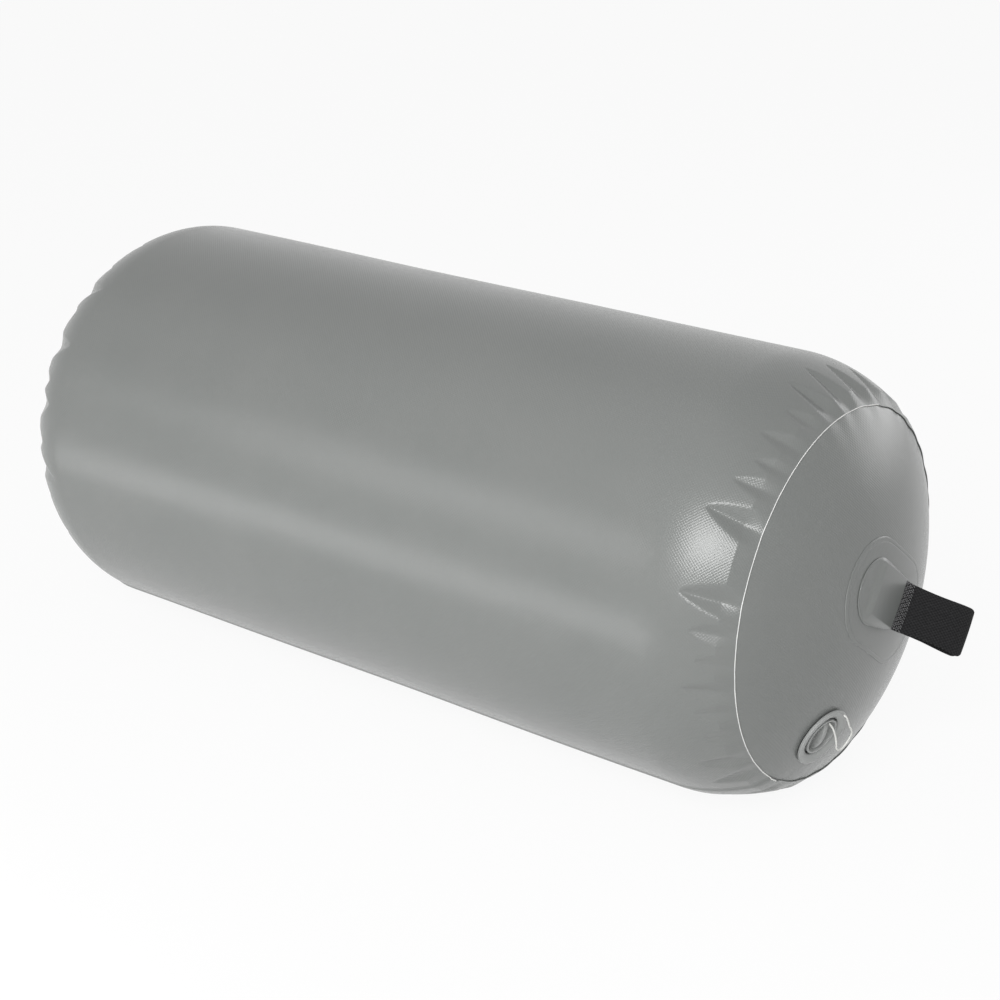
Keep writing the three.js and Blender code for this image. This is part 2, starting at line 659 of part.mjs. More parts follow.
// The tether leaves the bezel and comes back to the end of the fin.
const tetherPath = new THREE.CatmullRomCurve3(TETHER_POINTS.map(([around, away, out]) => valveCentre.clone()
  .addScaledVector(valveAround, around)
  .addScaledVector(valveAway, away)
  .addScaledVector(valveOut, out)));
const tetherSteps = Math.round(tetherPath.getLength() / (2 * TETHER_DIAMETER));
addPiece('cap_tether', mergedPositions(new THREE.ExtrudeGeometry(
  roundSection(TETHER_DIAMETER / 2, 8),
  { steps: tetherSteps, extrudePath: tetherPath, bevelEnabled: false },
)), 'whiteCord');

export default fender;
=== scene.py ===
"""An inflatable fender of grey coated fabric, lying on its side, dressed for the camera.

Metres, +Z up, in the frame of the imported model: the tube's axis runs along X.
"""

import bpy
import numpy as np
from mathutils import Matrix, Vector


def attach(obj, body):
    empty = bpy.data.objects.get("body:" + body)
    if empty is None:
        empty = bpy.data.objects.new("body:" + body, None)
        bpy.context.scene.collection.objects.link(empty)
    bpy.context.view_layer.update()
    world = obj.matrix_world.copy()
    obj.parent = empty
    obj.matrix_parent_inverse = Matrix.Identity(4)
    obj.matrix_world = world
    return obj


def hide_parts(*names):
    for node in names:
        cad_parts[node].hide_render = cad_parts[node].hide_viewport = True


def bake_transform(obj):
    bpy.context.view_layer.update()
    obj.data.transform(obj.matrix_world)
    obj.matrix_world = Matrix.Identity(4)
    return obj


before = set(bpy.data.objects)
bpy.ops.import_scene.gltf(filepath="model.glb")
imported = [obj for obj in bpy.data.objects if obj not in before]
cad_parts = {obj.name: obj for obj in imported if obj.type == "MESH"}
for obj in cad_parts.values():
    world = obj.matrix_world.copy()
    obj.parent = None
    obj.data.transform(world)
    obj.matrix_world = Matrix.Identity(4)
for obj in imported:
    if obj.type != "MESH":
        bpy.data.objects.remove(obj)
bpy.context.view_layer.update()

# Camera
# The photograph looks down on the fender's front end from its right, through a lens
# a little longer than normal, with the camera held level.
camera_data = bpy.data.cameras.new("studio_camera")
camera_data.sensor_width = 36
camera_data.lens = 76.14
camera_data.clip_start = 0.05
camera_data.clip_end = 50
camera = bpy.data.objects.new("studio_camera", camera_data)
bpy.context.scene.collection.objects.link(camera)
camera_back = Vector((0.56735, -0.73465, 0.37203))
camera.location = (1.3645, -1.7115, 1.0911)
camera.rotation_mode = "QUATERNION"
camera.rotation_quaternion = (-camera_back).to_track_quat("-Z", "Y")
bpy.context.scene.camera = camera

# Cap tether
# A limp white braided cord of 1.8 mm that keeps the cap with its valve. It comes out
# under the edge of the valve's flange, loops round and is tied off on the finger fin.
mm = 0.001
axis_height = np.sqrt(228.6**2 - 30**2)
valve_centre = np.array([490.8746, -65.5950, 105.8121])
valve_out = np.array([0.933553, -0.171032, -0.315002])
valve_around = np.array([0, 0.878817, -0.477159])
valve_away = np.cross(valve_around, valve_out)


def linear(hex_colour):
    """sRGB hex to linear RGBA: the sRGB curve, undone for each channel."""
    value = np.array([int(hex_colour[i : i + 2], 16) for i in (0, 2, 4)]) / 255
    channel = np.where(value <= 0.04045, value / 12.92, ((value + 0.055) / 1.055) ** 2.4)
    return (*channel, 1.0)


def add_node(material, kind, settings=None, **inputs):
    """Add one node. Settings are its own properties, and inputs are values or the outputs
    that feed its sockets, by name, or by number as in in_0."""
    node = material.node_tree.nodes.new(kind)
    for key, value in (settings or {}).items():
        setattr(node, key, value)
    for key, value in inputs.items():
        name = int(key[3:]) if key.startswith("in_") else key.replace("_", " ")
        if isinstance(value, bpy.types.NodeSocket):
            material.node_tree.links.new(value, node.inputs[name])
        else:
            node.inputs[name].default_value = value
    return node


def new_material(name, settings):
    """A Principled material: settings are constants on the shader's own sockets."""
    material = bpy.data.materials.new(name)
    material.use_nodes = True
    shader = material.node_tree.nodes["Principled BSDF"]
    for key, value in settings.items():
        shader.inputs[key].default_value = value
    return material, shader


def feed(material, shader, **outputs):
    """Link outputs to the shader's sockets, by name with _ for a space."""
    for key, output in outputs.items():
        material.node_tree.links.new(output, shader.inputs[key.replace("_", " ")])


def mesh_piece(name, points, faces, material, smooth=True):
    """An object at the origin from points in millimetres and lists of face corners."""
    mesh = bpy.data.meshes.new(name)
    mesh.from_pydata(np.asarray(points) * mm, [], [list(map(int, face)) for face in faces])
    mesh.validate()
    mesh.materials.append(material)
    mesh.polygons.foreach_set("use_smooth", [smooth] * len(mesh.polygons))
    mesh.update()
    piece = bpy.data.objects.new(name, mesh)
    bpy.context.scene.collection.objects.link(piece)
    return piece


def grid_faces(rows, columns, wrap_rows=False, wrap_columns=False):
    """Quads of a grid of points stored row by row, with either way closed on itself."""
    i = np.arange(rows if wrap_rows else rows - 1)[:, None]
    j = np.arange(columns if wrap_columns else columns - 1)[None, :]
    i2 = (i + 1) % rows
    j2 = (j + 1) % columns
    corners = [i * columns + j, i * columns + j2, i2 * columns + j2, i2 * columns + j]
    return np.stack(np.broadcast_arrays(*corners), -1).reshape(-1, 4)


def smooth_route(points, steps):
    """Centripetal Catmull-Rom curve: between each pair of points a cubic whose end
    tangents come from the neighbours, spaced by the square root of their distance."""
    p = np.vstack([2 * points[0] - points[1], points, 2 * points[-1] - points[-2]])
    p0, p1, p2, p3 = p[:-3], p[1:-2], p[2:-1], p[3:]
    pairs = ((p0, p1), (p1, p2), (p2, p3))
    d0, d1, d2 = (np.linalg.norm(b - a, axis=1)[:, None] ** 0.5 for a, b in pairs)
    t1 = d1 * ((p1 - p0) / d0 - (p2 - p0) / (d0 + d1) + (p2 - p1) / d1)
    t2 = d1 * ((p2 - p1) / d1 - (p3 - p1) / (d1 + d2) + (p3 - p2) / d2)
    u = (np.arange(steps) / steps)[None, :, None]
    square = -3 * p1 + 3 * p2 - 2 * t1 - t2
    cube = 2 * p1 - 2 * p2 + t1 + t2
    a, b, c, d = (term[:, None] for term in (p1, t1, square, cube))
    return np.vstack([(a + b * u + c * u**2 + d * u**3).reshape(-1, 3), points[-1:]])


def tube_along(route, radius, sides, up):
    """A round tube on a route: at each point a circle across the tangent, whose first
    direction is the tangent crossed with up, closed by a point at each end."""
    tangent = np.gradient(route, axis=0)
    tangent /= np.linalg.norm(tangent, axis=1)[:, None]
    first = np.cross(tangent, up)
    first /= np.linalg.norm(first, axis=1)[:, None]
    second = np.cross(tangent, first)
    turn = 2 * np.pi * np.arange(sides) / sides
    ring = first[:, None] * np.cos(turn)[None, :, None] + second[:, None] * np.sin(turn)[None, :, None]
    points = np.vstack([(route[:, None] + radius * ring).reshape(-1, 3), route[:1], route[-1:]])
    count = len(route) * sides
    k = np.arange(sides)
    start_cap = np.stack([np.full(sides, count), (k + 1) % sides, k], -1)
    end_cap = np.stack([np.full(sides, count + 1), count - sides + k, count - sides + (k + 1) % sides], -1)
    long_faces = grid_faces(len(route), sides, wrap_columns=True)
    return points, [*long_faces[:, ::-1], *start_cap[:, ::-1], *end_cap[:, ::-1]]


tether_points = np.array(
    [
        [3.5, -30, 4.5], [5, -29.5, 7.5], [10, -26.5, 9.5], [17, -22.5, 10.5], [24.5, -19.5, 11.5],
        [29.5, -15.5, 12], [32, -9.5, 12], [32.5, -2.5, 12], [30.5, 3, 12], [26, 5, 12],
        [20.5, 3.2, 11.5], [15.5, -1, 10.8], [10.5, -5.5, 9.4], [5.5, -9.8, 7.2], [1, -13.2, 4.2],
        [-3.4, -15.6, 0.2],
    ]
)
valve_frame = np.array([valve_around, valve_away, valve_out])
tether_route = smooth_route(valve_centre + tether_points @ valve_frame, 14)
tether_diameter = 1.8

# White polyester braid: matt and slightly off-white. A fine diagonal wave, a little under
# 1 mm apart, stands for its crossing strands.
braid, braid_shader = new_material("white_polyester_braid", {"Roughness": 0.75, "IOR": 1.5})
braid_place = add_node(braid, "ShaderNodeTexCoord")
braid_wave = add_node(
    braid, "ShaderNodeTexWave", {"bands_direction": "DIAGONAL"},
    Vector=braid_place.outputs["Object"], Scale=420.0, Distortion=2.0, Detail=1.0,
)
braid_colour = add_node(
    braid, "ShaderNodeMix", {"data_type": "RGBA"},
    in_0=braid_wave.outputs["Fac"], in_6=linear("d9dad6"), in_7=linear("f6f6f2"),
)
braid_bump = add_node(
    braid, "ShaderNodeBump", Height=braid_wave.outputs["Fac"], Distance=0.0002, Strength=0.6
)
feed(braid, braid_shader, Base_Color=braid_colour.outputs[2], Normal=braid_bump.outputs["Normal"])

tether = mesh_piece("tether_cord", *tube_along(tether_route, tether_diameter / 2, 12, valve_out), braid)
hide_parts("cap_tether")
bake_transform(tether)

# Tube
# One rectangle of satin PVC-coated polyester, lapped and welded along its length and
# gathered at each end over the rim of an end panel, where its cut edge shows white.
tube_radius = 228.6
half_length = 515.2
seam_radius = tube_radius - 36.7
fabric = 0.9
fit_gap = 0.3
seam_lap = 22


class EndShape:
    """The fabric's outline at one end. The sine of its slope grows with a power of the
    radius, on the panel up to the edge angle and on the tube up to the barrel. Tables
    run by s, the distance from the seam along the fabric, negative on the panel."""

    def __init__(self, roundness, panel_edge_angle, panel_power=1.2, steps=400):
        panel_slope = np.radians(panel_edge_angle)
        tube_slope = np.arcsin((seam_radius / tube_radius) ** roundness)
        self.panel = self.walk(0, panel_slope, seam_radius, panel_power, half_length, steps)
        self.panel[0] -= self.panel[0][-1]
        self.tube = self.walk(tube_slope, np.pi / 2, seam_radius, roundness, self.panel[1][-1], steps)
        self.pole = self.panel[0][0]
        self.barrel = self.tube[0][-1]

    @staticmethod
    def walk(start, end, edge_radius, power, x, steps):
        """Rows of distance, x, radius and slope: r = edge (sin b / sin edge)^(1/power),
        and x falls by r db / power along the way."""
        slope = np.linspace(start, end, steps + 1)
        edge = end if start == 0 else start
        r = edge_radius * (np.sin(slope) / np.sin(edge)) ** (1 / power)
        x = x - np.concatenate([[0], np.cumsum((r[1:] + r[:-1]) / 2 * np.diff(slope) / power)])
        s = np.concatenate([[0], np.cumsum(np.hypot(np.diff(x), np.diff(r)))])
        return np.stack([s, x, r, slope])

    def at(self, s):
        """x, radius and slope at distances from the seam, straight beyond the shoulder."""
        panel = [np.interp(s, self.panel[0], row) for row in self.panel[1:]]
        tube = [np.interp(s, self.tube[0], row) for row in self.tube[1:]]
        tube[0] = tube[0] - np.maximum(s - self.barrel, 0)
        return [np.where(s < 0, p, t) for p, t in zip(panel, tube)]

    def at_radius(self, r):
        """s, x and slope where the outline has a radius below the barrel's."""
        rows = np.hstack([self.panel[:, :-1], self.tube])
        return [np.interp(r, rows[2], rows[k]) for k in (0, 1, 3)]


front_shape = EndShape(1.6, 32.2)
rear_shape = EndShape(3, 19.3)

# Gathers, each by its angle at the tip and at the seam in degrees, its length and depth
# in millimetres, and its half width in degrees. The deepest two frame the broad smooth
# panel that faces the camera.
front_gathers = np.array(
    [
        [141.4, 142.8, 58, 8.5, 4.7], [162.6, 163.8, 60, 8.5, 4.4], [132.5, 131.5, 46, 4.4, 3.0],
        [125.5, 124.0, 36, 3.4, 2.6], [117.5, 116, 46, 4.2, 3.4], [107.5, 106, 40, 4.0, 3.2],
        [98, 97, 60, 6.0, 4.0], [88, 89, 64, 5.5, 3.8], [79, 78, 60, 6.5, 4.2], [68, 69, 56, 5.0, 4.0],
        [58, 59, 40, 3.5, 3.4], [48, 48, 58, 6.0, 4.6], [37, 38, 38, 3.5, 3.6], [28, 27, 56, 6.0, 4.6],
        [17, 16, 40, 3.5, 3.6], [7, 6, 58, 5.5, 4.6], [-3, -2, 40, 3.5, 3.6], [-13, -13, 54, 5.5, 4.6],
        [-23, -24, 38, 3.5, 3.6], [-33, -32, 56, 5.5, 4.6], [-43, -43, 36, 3.0, 3.6],
        [-53, -53, 52, 5.0, 4.4], [-64, -64, 36, 3.0, 3.6], [-75, -74, 50, 4.5, 4.4],
        [-86, -86, 34, 2.8, 3.6], [-97, -98, 48, 4.5, 4.2], [-108, -107, 34, 2.8, 3.2],
        [-117, -118, 46, 3.5, 3.2], [-134, -137, 50, 4.0, 3.6], [-145.5, -144, 52, 4.0, 3.4],
        [-156, -155, 36, 2.6, 3.0], [-165, -164, 40, 3.0, 3.2], [-172.5, -170, 50, 5.5, 3.6],
        [-180.5, -178.5, 38, 3.6, 3.2], [-188.5, -187.5, 46, 4.8, 3.2],
    ]
)


def rear_gather_table():
    """Gathers 10 degrees apart, by turns deep and shallow, a little unequal, as sewn."""
    k = np.arange(36)
    angle = 145 + 10 * k + 1.6 * np.sin(2.3 * k)
    deep = k % 2 == 0
    length = np.where(deep, 58, 38) + 7 * np.sin(1.7 * k + 1)
    depth = np.where(deep, 7.0, 3.6) + 1.1 * np.sin(2.9 * k)
    return np.stack([angle, angle + 1.2 * np.sin(1.1 * k), length, depth, np.where(deep, 4.6, 3.2)], -1)


rear_gathers = rear_gather_table()
lap_ridge = 19


def gather_pull(gathers, s, angle):
    """How far gathers pull the fabric in, at distances s and angles in degrees. Each is a
    wedge with creased edges and a creased bottom, 1 - |v| across, that opens from its tip
    to the stiff lapped band along the seam and runs out over that band. Between them the
    fabric stands up behind the band, in a low ridge 19 mm from the seam."""
    s, angle = np.broadcast_arrays(s, angle)
    behind = np.maximum(s - lap_ridge, 0)
    on_band = np.clip(s / lap_ridge, 0, 1)
    pull = -2.2 * on_band * np.exp(-behind / 18)
    for tip, root, length, depth, half in gathers:
        back = np.clip((1 - s / length) / (1 - lap_ridge / length), 0, 1)
        centre = tip + (root - tip) * np.clip(1 - s / length, 0, 1.2)
        width = half * back**0.7 + 0.01
        v = np.sqrt((((angle - centre + 180) % 360 - 180) / width) ** 2 + 0.02)
        wedge = 0.5 * (1 - v + np.sqrt((1 - v) ** 2 + 0.01))
        along = back**0.55 * (0.2 + 0.8 * on_band) * np.exp(np.minimum(s, 0) / 11)
        pull = pull + depth * along * np.where(v < 2.5, wedge, 0)
    return pull


def slack(s, x, angle):
    """Soft unevenness of the inflated skin, under a millimetre on the barrel: slow
    waves along and round the tube that die out towards the gathers."""
    a = np.radians(angle)
    wave = 0.30 * np.sin(x / 96 + 2 * a) + 0.22 * np.sin(x / 61 - 3 * a + 1) + 0.2 * np.sin(x / 150 + a)
    return wave * np.clip(s / 60, 0, 1)


def resting(height, floor):
    """Heights of skin that lies on the floor: below 6 mm they level out towards it."""
    return np.where(height < floor + 6, floor + 6 * np.exp((height - floor - 6) / 6), height)


def fabric_points(shape, side, gathers, s, angle, depth):
    """A point of the fabric: the outline at s, turned to the angle, and moved inwards
    along the outline's normal by its depth, the gathers' pull and the slack."""
    s, angle, depth = np.broadcast_arrays(s, angle, depth)
    x, r, slope = shape.at(s)
    inwards = depth + gather_pull(gathers, s, angle) + slack(s, side * x, angle)
    radius = r - inwards * np.sin(slope)
    turn = np.radians(angle)
    height = resting(axis_height + radius * np.sin(turn), np.maximum(depth, 0))
    return np.stack([side * (x - inwards * np.cos(slope)), radius * np.cos(turn), height], -1)


lap_angle = -124
lap_overlap = 24
lap_width = np.degrees(lap_overlap / tube_radius)
angles = np.concatenate(
    [
        [lap_angle - lap_width / 2, lap_angle, lap_angle + lap_width / 2],
        np.arange(lap_angle + lap_width / 2 + 0.5, 60, 0.8),
        np.arange(60, 200, 0.42),
        np.arange(200, lap_angle + 360 - lap_width / 2 - 1.5, 0.62),
        lap_angle + 360 + lap_width * np.array([-0.5, -0.42, -0.34, -0.1, 0.2, 0.44, 0.49, 0.5]),
    ]
)
front_rows = np.concatenate(
    [
        [0, 0.4, 0.8], np.arange(2, 18, 1.3), [18, 18.6, 19, 19.4, 20], np.arange(21, 64, 1.2),
        np.arange(64, front_shape.barrel, 3.2),
    ]
)
rear_rows = np.concatenate(
    [
        [0, 0.5], np.arange(2, 18, 1.6), [18, 19, 20], np.arange(22, 60, 2),
        np.arange(60, rear_shape.barrel, 4),
    ]
)
barrel_share = np.linspace(0, 1, 22)[1:-1]
front_x = front_shape.at(np.array(front_shape.barrel))[0]
rear_x = rear_shape.at(np.array(rear_shape.barrel))[0]


def lap_lift(angle):
    """The upper edge of the lap lies over the lower one: it climbs by the fabric and a
    glue line over a few millimetres."""
    over = (angle - (lap_angle + 360 - 0.5 * lap_width)) / lap_width
    return np.where(over > -0.01, (fabric + 0.35) * np.clip((over + 0.01) / 0.12, 0, 1), 0)


def tube_skin(depth, keep):
    """Rows of points from the front cut edge to the rear one, keeping each nth row."""
    lift = lap_lift(angles)[None, :]
    round_it = angles[None, :]
    front = fabric_points(front_shape, 1, front_gathers, front_rows[:, None], round_it, depth - lift)
    rear = fabric_points(rear_shape, -1, rear_gathers, rear_rows[::-1, None], round_it, depth - lift)
    middle_s = barrel_share * (front_x + rear_x)
    nearest = np.minimum(middle_s + front_shape.barrel, middle_s[::-1] + rear_shape.barrel)
    middle_x = front_x - middle_s
    turn = np.radians(round_it)
    radius = tube_radius - depth + lift - slack(nearest[:, None], middle_x[:, None], round_it)
    height = resting(axis_height + radius * np.sin(turn), depth)
    middle = np.stack(np.broadcast_arrays(middle_x[:, None], radius * np.cos(turn), height), -1)
    rows = np.concatenate([front, middle, rear])
    last = len(rows) - 1
    chosen = sorted({*range(0, last, keep), 1, 2, last - 1, last})
    return rows[chosen], chosen


# Satin PVC-coated polyester: the coat is smooth and shows the plain weave below it as
# fine diagonal dimples, mostly where it catches a highlight. Thread spacing 1.7 mm.
coated, coated_shader = new_material(
    "satin_pvc_coated_polyester", {"IOR": 1.5, "Specular IOR Level": 0.5}
)
flat_place = add_node(coated, "ShaderNodeUVMap", {"uv_map": "cut"})
thread_turn = add_node(
    coated, "ShaderNodeVectorMath", {"operation": "SCALE"},
    Vector=flat_place.outputs["UV"], Scale=np.pi / (1.7 * mm),
)
thread_axes = add_node(coated, "ShaderNodeSeparateXYZ", Vector=thread_turn.outputs["Vector"])
warp = add_node(coated, "ShaderNodeMath", {"operation": "COSINE"}, in_0=thread_axes.outputs["X"])
weft = add_node(coated, "ShaderNodeMath", {"operation": "COSINE"}, in_0=thread_axes.outputs["Y"])
crossing = add_node(
    coated, "ShaderNodeMath", {"operation": "MULTIPLY"}, in_0=warp.outputs[0], in_1=weft.outputs[0]
)
coat_waves = add_node(
    coated, "ShaderNodeTexNoise", Vector=flat_place.outputs["UV"], Scale=9.0, Detail=3.0, Roughness=0.5
)
coat_roughness = add_node(
    coated, "ShaderNodeMapRange",
    Value=coat_waves.outputs["Fac"], From_Min=0.3, From_Max=0.7, To_Min=0.22, To_Max=0.27,
)
coat_colour = add_node(
    coated, "ShaderNodeMix", {"data_type": "RGBA"},
    in_0=coat_waves.outputs["Fac"], in_6=linear("757876"), in_7=linear("7d7f7d"),
)
coat_bump = add_node(coated, "ShaderNodeBump", Height=crossing.outputs[0], Distance=0.00005, Strength=1.0)
feed(
    coated, coated_shader,
    Base_Color=coat_colour.outputs[2], Roughness=coat_roughness.outputs["Result"],
    Normal=coat_bump.outputs["Normal"],
)

# The cut edge: the uncoated white threads of the base cloth, matt.
cut_edge, _ = new_material(
    "raw_polyester_threads", {"IOR": 1.5, "Roughness": 0.9, "Base Color": linear("f4f4f2")}
)


def set_flat_map(piece, along, around):
    """The piece's UV map holds its place on the flat cut cloth, in metres."""
    layer = piece.data.uv_layers.new(name="cut")
    corner = np.zeros(len(piece.data.loops), np.int32)
    piece.data.loops.foreach_get("vertex_index", corner)
    flat = np.stack([along[corner], around[corner]], -1) * mm
    layer.data.foreach_set("uv", flat.astype(np.float32).ravel())


outer, _ = tube_skin(0.0, 1)
inner, inner_rows = tube_skin(fabric, 3)
row_count, column_count = outer.shape[:2]
inner_count = len(inner_rows)
inner_start = row_count * column_count
outer_faces = grid_faces(row_count, column_count)
inner_faces = grid_faces(inner_count, column_count)[:, ::-1] + inner_start


def strip(one, other):
    """Quads that join two lines of as many points."""
    return np.stack([one[:-1], one[1:], other[1:], other[:-1]], -1)


column = np.arange(column_count)
outer_last = (row_count - 1) * column_count
inner_last = inner_start + (inner_count - 1) * column_count
front_edge = strip(inner_start + column, column)
rear_edge = strip(outer_last + column, inner_last + column)


def side_edge(column, flip):
    """The cut edge along the lap: a fan of faces between the fine outer rows and the
    coarser inner ones."""
    faces = []
    for a, b in zip(range(inner_count - 1), range(1, inner_count)):
        top = [row * column_count + column for row in range(inner_rows[a], inner_rows[b] + 1)]
        face = [inner_start + b * column_count + column, inner_start + a * column_count + column, *top]
        faces.append(face[::-1] if flip else face)
    return faces


lower_side = side_edge(0, False)
upper_side = side_edge(column_count - 1, True)
tube = mesh_piece(
    "tube_fabric", np.vstack([outer.reshape(-1, 3), inner.reshape(-1, 3)]),
    [*outer_faces, *inner_faces, *front_edge, *rear_edge, *lower_side, *upper_side], coated,
)
tube.data.materials.append(cut_edge)
edge_start = len(outer_faces) + len(inner_faces)
# The front cut edge, and the outer face of its first two rows, show the white threads from 72 degrees round
# to the lap. From the lap round to 72 degrees they keep the grey coated cloth instead: painted shade where
# the white edge turns down and away from the light.
white_edge_outside_painted_shade = (angles[:-1] > 72) & (angles[:-1] < lap_angle + 360 - 0.1)
material_index = np.zeros(len(tube.data.polygons), np.int32)
material_index[: 2 * (column_count - 1)] = np.tile(white_edge_outside_painted_shade, 2)
material_index[edge_start : edge_start + column_count - 1] = white_edge_outside_painted_shade
material_index[edge_start + column_count - 1 :] = 1
tube.data.polygons.foreach_set("material_index", material_index)
barrel_length = front_x + rear_x
tube_length = front_shape.barrel + barrel_length + rear_shape.barrel
along_line = np.concatenate(
    [front_rows, front_shape.barrel + barrel_share * barrel_length, tube_length - rear_rows[::-1]]
)
along_all = np.repeat(np.concatenate([along_line, along_line[inner_rows]]), column_count)
around_all = np.tile(np.radians(angles) * tube_radius, row_count + inner_count)
set_flat_map(tube, along_all, around_all)
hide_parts("tube_panel")
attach(tube, "root")

# End panels
# Two round panels of the same fabric, domed by the pressure. Each rim runs on under the
# tube's end, where the two are welded, and the front one has the valve's hole.
panel_depth = fabric + fit_gap
barrel_radius = 24.5
hole_radius = barrel_radius + 2 * fit_gap


def panel_points(shape, side, gathers, y, z, depth):
    """A point of the panel over y and z from the axis: the outline at that radius, moved
    inwards along its normal by the panel's depth and the gathers' pull."""
    radius = np.hypot(y, z)
    angle = np.degrees(np.arctan2(z, y))
    s, x, slope = shape.at_radius(radius)
    inwards = depth + gather_pull(gathers, s, angle)
    shrink = 1 - inwards * np.sin(slope) / np.maximum(radius, 1e-6)
    height = np.maximum(axis_height + z * shrink, depth)
    return np.stack([side * (x - inwards * np.cos(slope)), y * shrink, height], -1)


def panel_piece(name, node, shape, side, gathers, share, hole):
    """Rings from the hole, or the pole, out to the rim: each ring mixes the hole's ring
    and the rim's circle, so that rings spread evenly between the two."""
    turn = np.radians(np.arange(0, 360, 0.8))
    rim_radius = shape.at(np.array(float(seam_lap)))[1]
    rim = np.stack([rim_radius * np.cos(turn), rim_radius * np.sin(turn)], -1)
    grid = (1 - share)[:, None, None] * hole + share[:, None, None] * rim
    skins = [
        panel_points(shape, side, gathers, grid[..., 0], grid[..., 1], depth)
        for depth in (panel_depth, panel_depth + fabric)
    ]
    rows, count = grid.shape[:2]
    points = np.vstack([skins[0].reshape(-1, 3), skins[1].reshape(-1, 3)])
    start = rows * count
    k = np.arange(count)
    after = (k + 1) % count
    outside = grid_faces(rows, count, wrap_columns=True)
    last = (rows - 1) * count
    rim_wall = np.stack([last + k, last + after, start + last + after, start + last + k], -1)
    hole_wall = np.stack([k, start + k, start + after, after], -1)
    faces = np.vstack([outside, outside[:, ::-1] + start, rim_wall[:, ::-1], hole_wall[:, ::-1]])
    piece = mesh_piece(name, points, faces if side > 0 else faces[:, ::-1], coated)
    set_flat_map(piece, np.tile(grid[..., 0].ravel(), 2), np.tile(grid[..., 1].ravel(), 2))
    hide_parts(node)
    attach(piece, "root")


turn = np.radians(np.arange(0, 360, 0.8))
across_valve = np.array([0, 1, 0]) - valve_out[1] * valve_out
across_valve /= np.linalg.norm(across_valve)
valve_ring = valve_centre + hole_radius * (
    np.cos(turn)[:, None] * across_valve + np.sin(turn)[:, None] * np.cross(valve_out, across_valve)
)
front_hole = np.stack([valve_ring[:, 1], valve_ring[:, 2] - axis_height], -1)
front_share = np.linspace(0, 1, 90) ** 0.8
panel_piece("front_panel_fabric", "front_end_panel", front_shape, 1, front_gathers, front_share, front_hole)
pole_ring = 0.5 * np.stack([np.cos(turn), np.sin(turn)], -1)
rear_share = np.linspace(0, 1, 70) ** 0.7
panel_piece("rear_panel_fabric", "rear_end_panel", rear_shape, -1, rear_gathers, rear_share, pole_ring)

# Loop patches
# On each end panel an oblong base patch of the same fabric is welded flat, and a smaller
# cover patch with a half-round end is welded over it and over the webbing's hidden end.
loop_raise = 11
loop_turn = np.radians(-36.6)
run_axis = np.array([np.cos(loop_turn), np.sin(loop_turn)])
width_axis = np.array([run_axis[1], -run_axis[0]])
base_length = 177
base_width = 110
base_shift = 17
patch_sheet = 1.0
glue_line = 0.12
webbing_width = 50.8
webbing_sheet = 1.8
webbing_offset = -3.2
webbing_exit = 28.5
webbing_hidden = 53
strap_low = 2 * fit_gap + patch_sheet
strap_middle = strap_low + webbing_sheet


def on_panel(shape, side, t, w, lift):
    """A point over the dome: t along the webbing and w across it from the patches'
    middle, and lift out from the panel's face along X."""
    t, w, lift = np.broadcast_arrays(t, w, lift)
    y = t * run_axis[0] + w * width_axis[0]
    z = t * run_axis[1] + w * width_axis[1] + loop_raise
    x = shape.at_radius(np.hypot(y, z))[1]
    return np.stack([side * (x - panel_depth + lift), y, axis_height + z], -1)


def closed_loops(rows):
    """A closed body from rows of loops of as many points, with a middle point that closes
    each end."""
    count, around = rows.shape[:2]
    points = np.vstack([rows.reshape(-1, 3), rows[0].mean(0)[None], rows[-1].mean(0)[None]])
    k = np.arange(around)
    last = (count - 1) * around
    first_cap = np.stack([np.full(around, count * around), (k + 1) % around, k], -1)
    last_cap = np.stack([np.full(around, count * around + 1), last + k, last + (k + 1) % around], -1)
    return points, [*grid_faces(count, around, wrap_columns=True), *first_cap, *last_cap]


def facing_out(points, faces):
    """The faces turned so that the body's volume, summed over its corners, is positive."""
    volume = 0.0
    p = np.asarray(points)
    for size in (3, 4):
        some = np.array([f for f in faces if len(f) == size])
        if len(some):
            a = p[some[:, 0]]
            for j in range(1, size - 1):
                volume += np.einsum("ij,ij->", a, np.cross(p[some[:, j]], p[some[:, j + 1]]))
    return points, faces if volume > 0 else [f[::-1] for f in faces]


def sheet_rings(shape, side, edge_t, edge_w, inside, centre):
    """A sheet in rings from its cut edge in to a centre. Each ring moves towards the
    centre so that the distance inside the edge is kept where the edge is nearest. The
    upper face is rounded at the edge and has a pressed weld line 4 mm inside it."""
    reach = np.hypot(edge_t - centre[0], edge_w - centre[1]).min()
    share = 1 - inside / reach
    grid_t = centre[0] + share[:, None] * (edge_t - centre[0])[None, :]
    grid_w = centre[1] + share[:, None] * (edge_w - centre[1])[None, :]
    rounded = patch_sheet * np.sqrt(np.clip(inside / 0.6, 0, 1)) - 0.3 * np.exp(-(((inside - 4) / 0.6) ** 2))
    top_points = on_panel(shape, side, grid_t, grid_w, glue_line + rounded[:, None])
    under_points = on_panel(shape, side, grid_t, grid_w, glue_line)
    pairs = ((top_points[::-1], under_points), (grid_t[::-1], grid_t), (grid_w[::-1], grid_w))
    return [np.concatenate(pair) for pair in pairs]


def oblong_edge(length, width, middle, count=280):
    """Points evenly along an oblong with half-round ends, t along it."""
    half = width / 2
    straight = length / 2 - half
    arc = np.pi * half
    run = np.linspace(0, 2 * arc + 4 * straight, count, endpoint=False)
    lap = run % (arc + 2 * straight)
    turn = np.clip(lap / half, 0, np.pi) - np.pi / 2
    flip = np.where(run < arc + 2 * straight, 1, -1)
    t = flip * (straight + half * np.cos(turn) - np.maximum(lap - arc, 0))
    return t + middle, flip * half * np.sin(turn)


cover_reach = 53.5
cover_half = 34
cover_end_half = 28.5
cover_slope = 9
round_to = cover_half - cover_reach
strap_edge = webbing_width / 2 + 0.5


